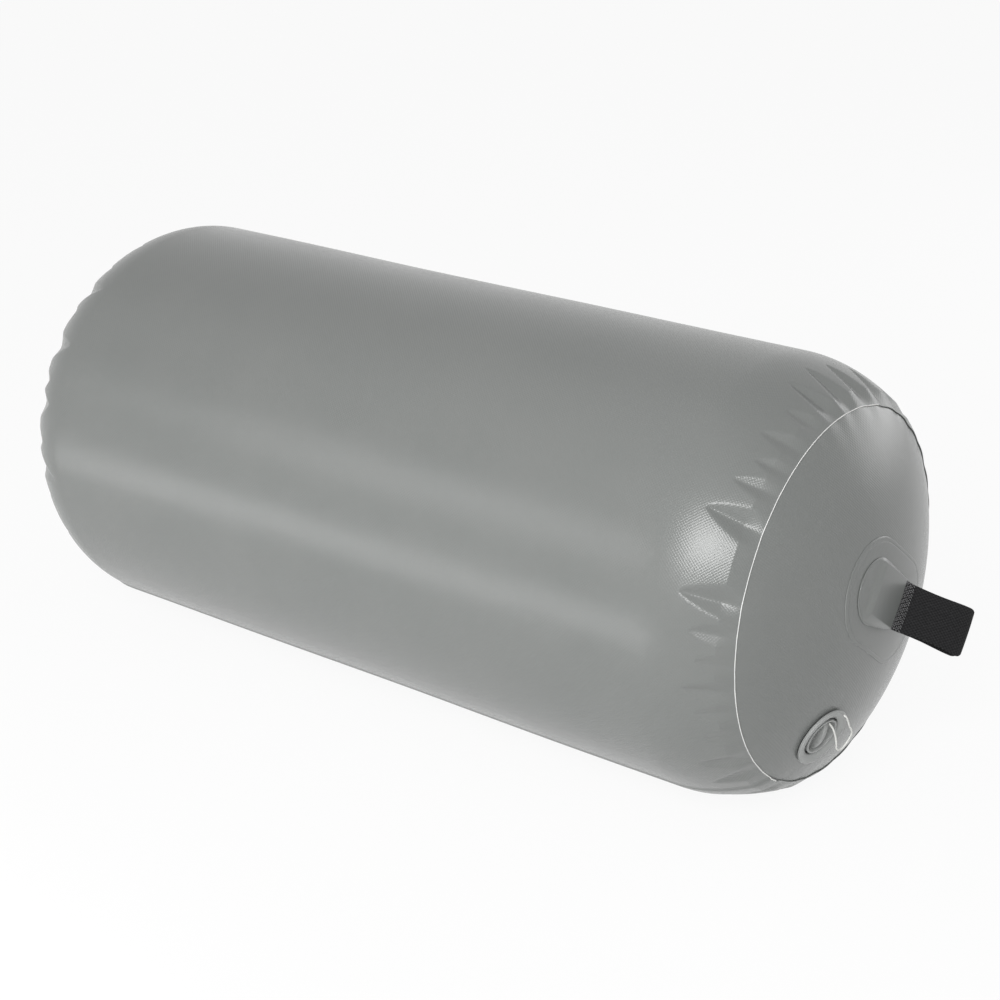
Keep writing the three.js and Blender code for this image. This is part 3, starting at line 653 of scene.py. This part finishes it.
def cover_points(shape, side):
    """Rows across the cover patch from its round tip to the webbing's exit: its half
    width follows a half oval and then narrows. Over the webbing it is lifted by both
    plies, and beyond the webbing's edge it comes down in an S-shaped slope."""
    tip = np.linspace(0.03, np.pi / 2, 40)[:-1]
    round_t = -cover_reach + cover_half * (1 - np.cos(tip))
    t = np.concatenate([round_t, np.linspace(round_to, webbing_exit, 60)])
    oval = np.sqrt(np.clip(1 - (np.minimum(t - round_to, 0) / cover_half) ** 2, 0, 1))
    narrowing = np.clip((t - round_to) / (webbing_exit - round_to), 0, 1)
    half = cover_half * oval + (cover_end_half - cover_half) * narrowing
    middle = webbing_offset * narrowing
    column = np.linspace(-1, 1, 81)
    column = column * (1.35 - 0.35 * column**2)
    w = middle[:, None] + half[:, None] * column[None, :]
    beside = np.maximum(np.abs(w - webbing_offset) - strap_edge, 0)
    before = np.maximum(webbing_exit - webbing_hidden - 0.5 - t, 0)[:, None]
    off_middle = np.sign(w - webbing_offset) * (middle[:, None] - webbing_offset)
    room = np.minimum(half[:, None] + off_middle - strap_edge, cover_slope)
    down = np.hypot(beside / np.maximum(room, 1.2), before / cover_slope)
    slope = np.clip(down, 0, 1)
    raised = 1 - slope**1.5 * (2.2 - 1.2 * slope)
    edge = half[:, None] * (1 - np.abs(column))[None, :]
    inside = np.minimum(edge, np.maximum(t + cover_reach, 0)[:, None])
    crease = 0.35 * np.sin(w / 7 + t[:, None] / 9) * np.exp(-((down - 0.6) / 0.35) ** 2)
    under = strap_low - fit_gap + glue_line + (2 * webbing_sheet + 0.3) * raised + crease * (edge > 0)
    thick = patch_sheet * (0.12 + 0.88 * np.sqrt(np.clip(inside / 0.6, 0, 1)))
    pressed = 0.22 * np.exp(-(((inside - 3.2) / 0.6) ** 2)) * (slope >= 1)
    top = on_panel(shape, side, t[:, None], w, under + thick - pressed)
    low = on_panel(shape, side, t[:, None], w, under)
    return top, low, t, w


def thin_sheet(top, low):
    """A closed sheet from two grids of points, walled along all four edges."""
    rows, columns = top.shape[:2]
    start = rows * columns
    number = np.arange(start).reshape(rows, columns)
    rim = np.concatenate([number[0, :-1], number[:-1, -1], number[-1, :0:-1], number[:0:-1, 0]])
    wall = np.stack([rim, start + rim, start + np.roll(rim, -1), np.roll(rim, -1)], -1)
    faces = np.vstack([grid_faces(rows, columns), grid_faces(rows, columns)[:, ::-1] + start, wall])
    return np.vstack([top.reshape(-1, 3), low.reshape(-1, 3)]), list(faces)


base_rings = np.array(
    [0, 0.1, 0.3, 0.6, 1.5, 2.8, 3.3, 3.7, 4, 4.3, 4.7, 5.2, 7, 10, 15, 21, 28, 36, 44, 50, 53.5]
)
base_edge = oblong_edge(base_length, base_width, base_shift)
for end, side, shape in (("front", 1, front_shape), ("rear", -1, rear_shape)):
    rows, flat_t, flat_w = sheet_rings(shape, side, *base_edge, base_rings, (base_shift, 0))
    patch = mesh_piece(f"{end}_patch_fabric", *facing_out(*closed_loops(rows)), coated)
    set_flat_map(patch, np.append(flat_t.ravel(), [0, 0]), np.append(flat_w.ravel(), [0, 0]))
    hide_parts(f"{end}_base_patch")
    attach(patch, "root")
    top, low, cover_t, cover_w = cover_points(shape, side)
    cover = mesh_piece(f"{end}_cover_fabric", *facing_out(*thin_sheet(top, low)), coated)
    cover_t = np.broadcast_to(cover_t[:, None], cover_w.shape)
    set_flat_map(cover, np.tile(cover_t.ravel(), 2), np.tile(cover_w.ravel(), 2))
    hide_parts(f"{end}_cover_patch")
    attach(cover, "root")

# Webbing loops
# A strap of 50.8 mm black polyester webbing, folded in two. It lies flat under the cover
# patch, is sewn together where it comes out, and stands off the panel as an open eye.
loop_length = 84.6
bend_radius = 20
lift_angle = np.radians(47)
sewn_length = 18
sewn_end = webbing_hidden + sewn_length
loop_end = webbing_hidden + loop_length - webbing_sheet
eye_gap = 14


def strap_place(shape, side, a, n, w):
    """Where a point of the strap lies, at a along it from its hidden end, n across its
    plies and w across its width: on the dome under the cover, then round a bend with
    its centre on the outer side, and straight on from there."""
    a, n, w = np.broadcast_arrays(a, n, w)
    near, far = (on_panel(shape, side, webbing_exit + step, 0.0, 0.0)[0] for step in (-1, 1))
    fall = np.arctan2(side * (near - far), 2)
    out = np.maximum(a - webbing_hidden, 0)
    turn = np.minimum(out / bend_radius, lift_angle)
    beyond = np.maximum(out - bend_radius * lift_angle, 0)
    radius = bend_radius - n
    run = radius * np.sin(turn) + beyond * np.cos(turn)
    rise = bend_radius - radius * np.cos(turn) + beyond * np.sin(turn)
    t = run * np.cos(fall) + rise * np.sin(fall)
    lift = rise * np.cos(fall) - run * np.sin(fall)
    start = on_panel(shape, side, webbing_exit, w + webbing_offset, strap_middle)
    free = start + np.stack([side * lift, t * run_axis[0], t * run_axis[1]], -1)
    flat = on_panel(shape, side, webbing_exit - webbing_hidden + a, w + webbing_offset, strap_middle + n)
    return np.where((a > webbing_hidden)[..., None], free, flat)


def strap_line():
    """The middle of the ply's thickness, from the root out, round the fold and back: the
    eye opens to half its gap as 2.6 u sqrt(1 - u), and half a ply lies outside it."""
    u = 1 - (1 - np.linspace(0, 1, 70)) ** 2
    a = np.concatenate([np.linspace(0, sewn_end, 34)[:-1], sewn_end + (loop_end - sewn_end) * u])
    gap = np.concatenate([np.full(33, 0.06), 0.06 + eye_gap / 2 * 2.6 * u * np.sqrt(1 - u)])
    a = np.concatenate([a, a[-2::-1]])
    n = np.concatenate([-gap[:-1], [0], gap[-2::-1]])
    run = np.stack([np.gradient(a), np.gradient(n)], -1)
    run /= np.linalg.norm(run, axis=1)[:, None]
    a = a + run[:, 1] * webbing_sheet / 2
    n = n - run[:, 0] * webbing_sheet / 2
    kernel = np.array([1, 2, 3, 2, 1]) / 9
    return [np.convolve(np.pad(line, 2, mode="edge"), kernel, "valid") for line in (a, n)]


def strap_points(side, shape):
    """A flat strap with rounded selvedges along its line. It is a little narrower in the
    middle of its free length, and its corners are rounded at the fold."""
    a, n = strap_line()
    run = np.stack([np.gradient(a), np.gradient(n)], -1)
    run /= np.linalg.norm(run, axis=1)[:, None]
    round_off = np.linspace(-np.pi / 2, np.pi / 2, 7)[1:-1]
    flat = webbing_width / 2 - webbing_sheet / 2
    face = np.linspace(-flat, flat, 33)
    selvedge = webbing_sheet / 2 * np.cos(round_off)
    upright = webbing_sheet / 2 * np.sin(round_off)
    upper = np.full(33, webbing_sheet / 2)
    across = np.concatenate([face, flat + selvedge, face[::-1], -flat - selvedge])
    out = np.concatenate([-upper, upright, upper, -upright])
    place_a = a[:, None] - out[None, :] * run[:, 1:]
    place_n = n[:, None] + out[None, :] * run[:, :1]
    free = np.clip((a - webbing_hidden) / loop_length, 0, 1)
    to_tip = np.clip(1 - (loop_end - a) / 6, 0, 1)
    corner = 1 - np.sqrt(1 - 0.97 * to_tip**2)
    narrow = 1 - 0.06 * np.sin(np.pi * free) ** 2
    pulled = np.where(across > 0, 4.0, 1.8)[None, :] * corner[:, None] * np.abs(across / flat)[None, :] ** 3
    w = across[None, :] * narrow[:, None] - np.sign(across)[None, :] * pulled
    distance = np.concatenate([[0], np.cumsum(np.hypot(np.diff(a), np.diff(n)))])
    cloth = np.broadcast_arrays(distance[:, None], across[None, :])
    return strap_place(shape, side, place_a, place_n, w), cloth


# Black polyester webbing: matt with a faint sheen, ribs of warp 1.7 mm apart crossed by
# the weft every 2.1 mm, and a little fuzz that greys the ribs.
webbing, webbing_shader = new_material(
    "black_polyester_webbing", {"IOR": 1.5, "Roughness": 0.85, "Specular IOR Level": 0.25}
)
strap_cloth = add_node(webbing, "ShaderNodeUVMap", {"uv_map": "cut"})
strap_axes = add_node(webbing, "ShaderNodeSeparateXYZ", Vector=strap_cloth.outputs["UV"])
weft_phase = add_node(
    webbing, "ShaderNodeMath", {"operation": "MULTIPLY"},
    in_0=strap_axes.outputs["X"], in_1=2 * np.pi / (4.2 * mm),
)
warp_phase = add_node(
    webbing, "ShaderNodeMath", {"operation": "MULTIPLY"},
    in_0=strap_axes.outputs["Y"], in_1=2 * np.pi / (3.4 * mm),
)
weft_wave = add_node(webbing, "ShaderNodeMath", {"operation": "SINE"}, in_0=weft_phase.outputs[0])
warp_wave = add_node(webbing, "ShaderNodeMath", {"operation": "SINE"}, in_0=warp_phase.outputs[0])
rib = add_node(
    webbing, "ShaderNodeMath", {"operation": "MULTIPLY"},
    in_0=weft_wave.outputs[0], in_1=warp_wave.outputs[0],
)
fuzz = add_node(webbing, "ShaderNodeTexNoise", Vector=strap_cloth.outputs["UV"], Scale=350.0, Detail=3.0)
ribbed = add_node(
    webbing, "ShaderNodeMath", {"operation": "MULTIPLY_ADD"},
    in_0=fuzz.outputs["Fac"], in_1=2.2, in_2=rib.outputs[0],
)
webbing_tone = add_node(webbing, "ShaderNodeMapRange", Value=ribbed.outputs[0], From_Min=0.3, From_Max=2.2)
webbing_mix = add_node(
    webbing, "ShaderNodeMix", {"data_type": "RGBA"},
    in_0=webbing_tone.outputs["Result"], in_6=linear("0e0e0f"), in_7=linear("2b2b2c"),
)
webbing_bump = add_node(webbing, "ShaderNodeBump", Height=ribbed.outputs[0], Distance=0.0002, Strength=0.7)
feed(webbing, webbing_shader, Base_Color=webbing_mix.outputs[2], Normal=webbing_bump.outputs["Normal"])

# Black bonded thread with a dark grey base colour: a painted sheen for the light its waxed coat catches.
thread, _ = new_material(
    "black_bonded_thread_painted_sheen", {"IOR": 1.5, "Roughness": 0.4, "Base Color": linear("6c6c6d")}
)


def stitch_points(side, shape):
    """Slanted stitches in seven rows across the root, on both faces: each is a short
    thread that arches out of the strap and dives into it at both ends."""
    row_step, stitch_step = 2.3, 2.75
    numbers = np.meshgrid(np.arange(7), np.arange(18), [-1, 1], indexing="ij")
    row, column, face = (number.ravel() for number in numbers)
    lean = np.where(row % 2 == 0, 1, -1)
    uneven = 0.35 * np.sin(2.7 * column + 1.9 * row)
    middle_a = webbing_hidden + 1.4 + row_step * row
    middle_w = (column - 8.5) * stitch_step + 0.7 * lean + uneven
    u = np.linspace(-1, 1, 7)
    a = middle_a[:, None] + 1.15 * u[None, :]
    w = middle_w[:, None] + 0.85 * lean[:, None] * u[None, :]
    n = face[:, None] * (webbing_sheet + 0.06 + 0.45 * np.sqrt(np.clip(1 - u**2, 0, 1)) - 0.1)[None, :]
    centre = np.stack([a, n, w], -1)
    run = np.gradient(centre, axis=1)
    run /= np.linalg.norm(run, axis=2)[..., None]
    first = np.cross(run, [0, 0, 1.0])
    first /= np.linalg.norm(first, axis=2)[..., None]
    second = np.cross(run, first)
    turn = 2 * np.pi * np.arange(6) / 6
    radius = 0.45 * np.sqrt(np.clip(1.02 - u**4, 0, 1))
    ring = first[:, :, None] * np.cos(turn)[:, None] + second[:, :, None] * np.sin(turn)[:, None]
    local = centre[:, :, None] + radius[None, :, None, None] * ring
    return strap_place(shape, side, local[..., 0], local[..., 1], local[..., 2])


for end, side, shape in (("front", 1, front_shape), ("rear", -1, rear_shape)):
    rows, flat_map = strap_points(side, shape)
    strap = mesh_piece(f"{end}_strap_webbing", *facing_out(*closed_loops(rows)), webbing)
    set_flat_map(strap, np.append(flat_map[0].ravel(), [0, 0]), np.append(flat_map[1].ravel(), [0, 0]))
    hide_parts(f"{end}_webbing_loop")
    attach(strap, "root")
    points, faces = [], []
    for one in stitch_points(side, shape):
        stitch, its_faces = facing_out(*closed_loops(one))
        faces += [np.asarray(face) + len(points) * len(stitch) for face in its_faces]
        points.append(stitch)
    sewing = mesh_piece(f"{end}_strap_stitches", np.vstack(points), faces, thread)
    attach(sewing, "root")

# Air valve
# A two-part valve moulded in grey nylon: its flange is clamped to the panel by a ring
# nut inside, and a dished cap with a finger fin turns in the recess over the stem.
fin_turn = np.radians(65)
fin_axis = valve_around * np.cos(fin_turn) + valve_away * np.sin(fin_turn)
valve_side = np.cross(valve_out, fin_axis)
bezel_radius = 32.5
bezel_height = 3.2
bezel_band = 4.5
valve_depth = 25
seat_bore = 17.3
seat_radius = 13
seat_wall = 3
cap_radius = 20.5
cap_wall = 2.2
plug_radius = seat_bore - 0.4
plug_length = 7
fin_thickness = 5.5
fin_height = 8
stem_bore = 2.3
hub_radius = 5
recess_radius = cap_radius + 2
shelf = -9
cap_floor = -5
cap_under = cap_floor - cap_wall
dome_radius = 137.9 / np.hypot(valve_out[1], valve_out[2])


def dome_drop(r):
    """How far the panel's dome falls away from the valve's plane at a radius."""
    return r * r / (2 * dome_radius)


def eased(profile, size, steps=4):
    """A closed profile with each corner cut back by a size, or by a third of its sides,
    and replaced by a quadratic curve through the cut ends towards the corner."""
    p = np.array(profile, float)
    before, after = np.roll(p, 1, axis=0) - p, np.roll(p, -1, axis=0) - p
    length = [np.maximum(np.linalg.norm(v, axis=1)[:, None], 1e-9) for v in (before, after)]
    cut = np.minimum(size, np.minimum(*length) / 3)
    cut = np.where(p[:, :1] <= 1e-6, 0, cut)
    start, end = p + before / length[0] * cut, p + after / length[1] * cut
    u = np.linspace(0, 1, steps + 1)[None, :, None]
    curve = (1 - u) ** 2 * start[:, None] + 2 * u * (1 - u) * p[:, None] + u**2 * end[:, None]
    return curve.reshape(-1, 2)


def in_valve(along, across, out):
    """Points in the valve's frame: along the fin, across it and out from the panel."""
    along, across, out = np.broadcast_arrays(along, across, out)
    place = np.stack([along, across, out], -1) @ np.array([fin_axis, valve_side, valve_out])
    return valve_centre + place


def turned(profile, segments=144):
    """A closed profile of radius and height, turned round the valve's axis. Points on
    the axis make one pole each."""
    r, z = np.array(profile, float).T
    turn = 2 * np.pi * np.arange(segments) / segments
    on_axis = r <= 1e-6
    if not on_axis.any():
        points = in_valve(r[:, None] * np.cos(turn), r[:, None] * np.sin(turn), z[:, None])
        faces = grid_faces(len(r), segments, wrap_rows=True, wrap_columns=True)
        return facing_out(points.reshape(-1, 3), list(faces))
    first = np.argmax(on_axis)
    r, z = np.roll(r, -first), np.roll(z, -first)
    ends = [z[0], z[-1] if r[-1] <= 1e-6 else z[r <= 1e-6][-1]]
    keep = r > 1e-6
    r, z = r[keep], z[keep]
    points = in_valve(r[:, None] * np.cos(turn), r[:, None] * np.sin(turn), z[:, None]).reshape(-1, 3)
    poles = in_valve(np.zeros(2), np.zeros(2), np.array(ends))
    k = np.arange(segments)
    count = len(points)
    first_cap = np.stack([np.full(segments, count), (k + 1) % segments, k], -1)
    last = count - segments
    last_cap = np.stack([np.full(segments, count + 1), last + k, last + (k + 1) % segments], -1)
    return facing_out(
        np.vstack([points, poles]), [*grid_faces(len(r), segments, wrap_columns=True), *first_cap, *last_cap]
    )


def joined(*bodies):
    """Several closed bodies as the points and faces of one mesh."""
    points, faces, start = [], [], 0
    for some_points, some_faces in bodies:
        points.append(some_points)
        faces += [np.asarray(face) + start for face in some_faces]
        start += len(some_points)
    return np.vstack(points), faces


# Grey moulded nylon: satin from a lightly spark-eroded mould, with a fine even grain
# of about 0.4 mm and faint cloudiness in the pigment.
nylon, nylon_shader = new_material("grey_moulded_nylon", {"IOR": 1.53, "Roughness": 0.42})
nylon_place = add_node(nylon, "ShaderNodeTexCoord")
nylon_grain = add_node(
    nylon, "ShaderNodeTexNoise", Vector=nylon_place.outputs["Object"], Scale=2500.0, Detail=1.0
)
nylon_cloud = add_node(
    nylon, "ShaderNodeTexNoise", Vector=nylon_place.outputs["Object"], Scale=60.0, Detail=2.0
)
nylon_colour = add_node(
    nylon, "ShaderNodeMix", {"data_type": "RGBA"},
    in_0=nylon_cloud.outputs["Fac"], in_6=linear("9a9c9b"), in_7=linear("a3a5a3"),
)
nylon_bump = add_node(
    nylon, "ShaderNodeBump", Height=nylon_grain.outputs["Fac"], Distance=0.00003, Strength=0.6
)
feed(nylon, nylon_shader, Base_Color=nylon_colour.outputs[2], Normal=nylon_bump.outputs["Normal"])

# Black moulded rubber: matt, with a slight bloom.
rubber, rubber_shader = new_material("black_moulded_rubber", {"IOR": 1.52, "Roughness": 0.8})
rubber_place = add_node(rubber, "ShaderNodeTexCoord")
rubber_bloom = add_node(
    rubber, "ShaderNodeTexNoise", Vector=rubber_place.outputs["Object"], Scale=300.0, Detail=3.0
)
rubber_colour = add_node(
    rubber, "ShaderNodeMix", {"data_type": "RGBA"},
    in_0=rubber_bloom.outputs["Fac"], in_6=linear("222223"), in_7=linear("343435"),
)
feed(rubber, rubber_shader, Base_Color=rubber_colour.outputs[2])

# Drawn spring steel: bright, with a faintly uneven tone.
spring, spring_shader = new_material("drawn_spring_steel", {"Metallic": 1.0, "Roughness": 0.3})
spring_place = add_node(spring, "ShaderNodeTexCoord")
spring_tone = add_node(
    spring, "ShaderNodeTexNoise", Vector=spring_place.outputs["Object"], Scale=900.0, Detail=2.0
)
spring_colour = add_node(
    spring, "ShaderNodeMix", {"data_type": "RGBA"},
    in_0=spring_tone.outputs["Fac"], in_6=linear("a9abad"), in_7=linear("c4c6c8"),
)
feed(spring, spring_shader, Base_Color=spring_colour.outputs[2])

gasket_low = 0.15
gasket_sheet = 0.8
gasket_inner, gasket_outer = 25.4, 31.5
flange_low = gasket_low + gasket_sheet + 0.15
shell = turned(
    eased(
        [
            [bezel_radius, bezel_height], [bezel_radius - bezel_band, bezel_height], [recess_radius, 0],
            [recess_radius, shelf], [seat_bore, shelf], [seat_bore, -valve_depth + seat_wall],
            [seat_radius, -valve_depth + seat_wall], [seat_radius, -valve_depth - seat_wall],
            [seat_radius + seat_wall, -valve_depth - seat_wall], [seat_radius + seat_wall, -valve_depth],
            [barrel_radius, -valve_depth], [barrel_radius, flange_low - dome_drop(barrel_radius)],
            [bezel_radius, flange_low - dome_drop(bezel_radius)],
        ],
        1.0,
    )
)
hub_low, hub_top = -valve_depth, -valve_depth + 5
hub_outline = [[stem_bore, hub_low], [hub_radius, hub_low], [hub_radius, hub_top], [stem_bore, hub_top]]
hub = turned(eased(hub_outline, 0.4), 48)


def spoke(angle):
    """A bar of the spider from the hub to the seat: a box with its corners at the hub's
    and the seat's radius, turned to its angle."""
    r = np.array([4, 4, 4, 4, 14.5, 14.5, 14.5, 14.5])
    across = np.array([-1.2, 1.2, 1.2, -1.2] * 2)
    z = -valve_depth + np.array([0, 0, 3, 3] * 2)
    faces = [[0, 1, 2, 3], [7, 6, 5, 4], [0, 4, 5, 1], [1, 5, 6, 2], [2, 6, 7, 3], [3, 7, 4, 0]]
    c, s = np.cos(angle), np.sin(angle)
    return facing_out(in_valve(r * c - across * s, r * s + across * c, z), [np.array(face) for face in faces])


valve_shell = mesh_piece(
    "valve_shell", *joined(shell, hub, *[spoke(np.pi / 4 + k * np.pi / 2) for k in range(4)]), nylon
)
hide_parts("valve_body")
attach(valve_shell, "root")

gasket = mesh_piece(
    "valve_gasket_ring",
    *turned(
        eased(
            [
                [gasket_outer, gasket_low - dome_drop(gasket_outer)],
                [gasket_outer, gasket_low + gasket_sheet - dome_drop(gasket_outer)],
                [gasket_inner, gasket_low + gasket_sheet - dome_drop(gasket_inner)],
                [gasket_inner, gasket_low - dome_drop(gasket_inner)],
            ],
            0.2,
        )
    ),
    rubber,
)
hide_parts("valve_gasket")
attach(gasket, "root")

half_fin = cap_radius - cap_wall
cap_rim = 1.5
cap_edge_low = shelf + 1.9
dish = turned(
    eased(
        [
            [0, cap_under], [plug_radius - cap_wall, cap_under],
            [plug_radius - cap_wall, cap_under - plug_length], [plug_radius, cap_under - plug_length],
            [plug_radius, cap_edge_low], [cap_radius, cap_edge_low], [cap_radius, cap_rim],
            [half_fin, cap_rim], [half_fin - 1, cap_floor], [0, cap_floor],
        ],
        0.7,
    )
)


def fin_body():
    """The finger fin: along it the height follows half an ellipse, and across it a squared
    oval, |across|^6 + |up|^6 = 1, gives straight sides and a rounded top."""
    share = np.sin(np.linspace(-np.pi / 2 + 0.06, np.pi / 2 - 0.06, 49))
    turn = np.linspace(0, np.pi, 25)
    power = 1 / 3
    across = fin_thickness / 2 * np.sign(np.cos(turn)) * np.abs(np.cos(turn)) ** power
    up = np.abs(np.sin(turn)) ** power
    height = fin_height * np.sqrt(1 - share**2)
    along = half_fin * share[:, None] * np.ones_like(turn)
    out = cap_floor + height[:, None] * up[None, :]
    loops = in_valve(along, across, out)
    base_across = fin_thickness / 2 * np.array([[-1, 1]])
    base = in_valve(half_fin * share[:, None], base_across, np.array(cap_floor - 0.8))
    return facing_out(*closed_loops(np.concatenate([loops, base], axis=1)))


cap = mesh_piece("cap_dish_and_fin", *joined(dish, fin_body()), nylon)
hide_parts("valve_cap")
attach(cap, "cap")

wire_radius = 0.4
spring_low = -19.3
spring_high = -10.7
spring_radius = 3.6
spring_turns = 4
coil = np.linspace(0, 1, 121)
coil_turn = 2 * np.pi * spring_turns * coil
coil_height = spring_low + (spring_high - spring_low) * coil
coil_route = in_valve(spring_radius * np.cos(coil_turn), spring_radius * np.sin(coil_turn), coil_height)
coil_wire = mesh_piece(
    "spring_wire", *facing_out(*tube_along(coil_route, wire_radius, 12, valve_out)), spring
)
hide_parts("valve_spring")
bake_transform(coil_wire)

for node, finish in (
    ("valve_clamp_ring", nylon), ("valve_stem", nylon), ("valve_poppet", nylon), ("cap_seal_ring", rubber),
    ("valve_seal_disc", rubber),
):
    hidden_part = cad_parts[node]
    hidden_part.data.materials.clear()
    hidden_part.data.materials.append(finish)

# Light and floor
# A tent that is white to the camera and in reflections, a white table, and softboxes
# overhead, beside the camera, low on the left, at the floor and behind on the right.
world = bpy.data.worlds.new("white_tent")
bpy.context.scene.world = world
world.use_nodes = True


def seen_rays(holder):
    """1 for camera, glossy and transmission rays, which see the white at strength 1, and
    0 for the others."""
    ray = add_node(holder, "ShaderNodeLightPath")
    camera_or_glossy = add_node(
        holder, "ShaderNodeMath", {"operation": "MAXIMUM"},
        in_0=ray.outputs["Is Camera Ray"], in_1=ray.outputs["Is Glossy Ray"],
    )
    seen = add_node(
        holder, "ShaderNodeMath", {"operation": "MAXIMUM"},
        in_0=camera_or_glossy.outputs[0], in_1=ray.outputs["Is Transmission Ray"],
    )
    return seen.outputs[0]


tent_seen = seen_rays(world)
tent_light = world.node_tree.nodes["Background"]
tent_light.inputs["Color"].default_value = (1, 1, 1, 1)
tent_light.inputs["Strength"].default_value = 0.3
tent_white = add_node(world, "ShaderNodeBackground", Color=(1, 1, 1, 1), Strength=1.0)
tent_pick = add_node(
    world, "ShaderNodeMixShader", in_0=tent_seen, in_1=tent_light.outputs[0], in_2=tent_white.outputs[0]
)
world.node_tree.links.new(tent_pick.outputs[0], world.node_tree.nodes["World Output"].inputs["Surface"])


def softbox(name, place, aim, width, height, power):
    """A rectangular lamp at a place, turned to face the aim point."""
    lamp = bpy.data.lights.new(name, "AREA")
    lamp.shape = "RECTANGLE"
    lamp.size, lamp.size_y, lamp.energy = width, height, power
    box = bpy.data.objects.new(name, lamp)
    bpy.context.scene.collection.objects.link(box)
    box.location = place
    box.rotation_mode = "QUATERNION"
    box.rotation_quaternion = (Vector(place) - Vector(aim)).to_track_quat("Z", "Y")


softbox("softbox_overhead", (-0.7, -1.0, 2.7), (-0.1, 0, 0.3), 3.6, 2.6, 8)
softbox("softbox_by_camera", (1.1, -2.12, 1.6), (0.4, -0.19, 0.3), 1.3, 1.1, 46)
softbox("softbox_low_left", (-1.24, -2.1, 1.05), (0.1, -0.2, 0.3), 1.1, 0.32, 4)
softbox("softbox_near_floor", (-0.4, -0.75, 0.04), (-0.35, -0.2, 0.1), 1.3, 0.08, 1.4)
softbox("softbox_behind_right", (1.3, 2.7, 0.9), (0.45, 0.15, 0.25), 1.8, 1.4, 16)

# White acrylic table, matt: to the camera and in reflections most of its tone is its own
# white, and the rest takes the fender's shadow. To other light it is a plain matt white.
table, table_shader = new_material("white_acrylic_table", {"Roughness": 1.0, "Base Color": linear("fafafa")})
table_seen = seen_rays(table)
table_white = add_node(table, "ShaderNodeEmission", Color=(1, 1, 1, 1), Strength=1.0)
table_share = add_node(table, "ShaderNodeMath", {"operation": "MULTIPLY"}, in_0=table_seen, in_1=0.92)
table_mix = add_node(
    table, "ShaderNodeMixShader",
    in_0=table_share.outputs[0], in_1=table_shader.outputs[0], in_2=table_white.outputs[0],
)
table.node_tree.links.new(table_mix.outputs[0], table.node_tree.nodes["Material Output"].inputs["Surface"])
floor = mesh_piece(
    "table_top", [[-9000, -9000, -0.5], [9000, -9000, -0.5], [9000, 9000, -0.5], [-9000, 9000, -0.5]],
    [[0, 1, 2, 3]], table, smooth=False,
)

bpy.context.scene.view_settings.view_transform = "Standard"
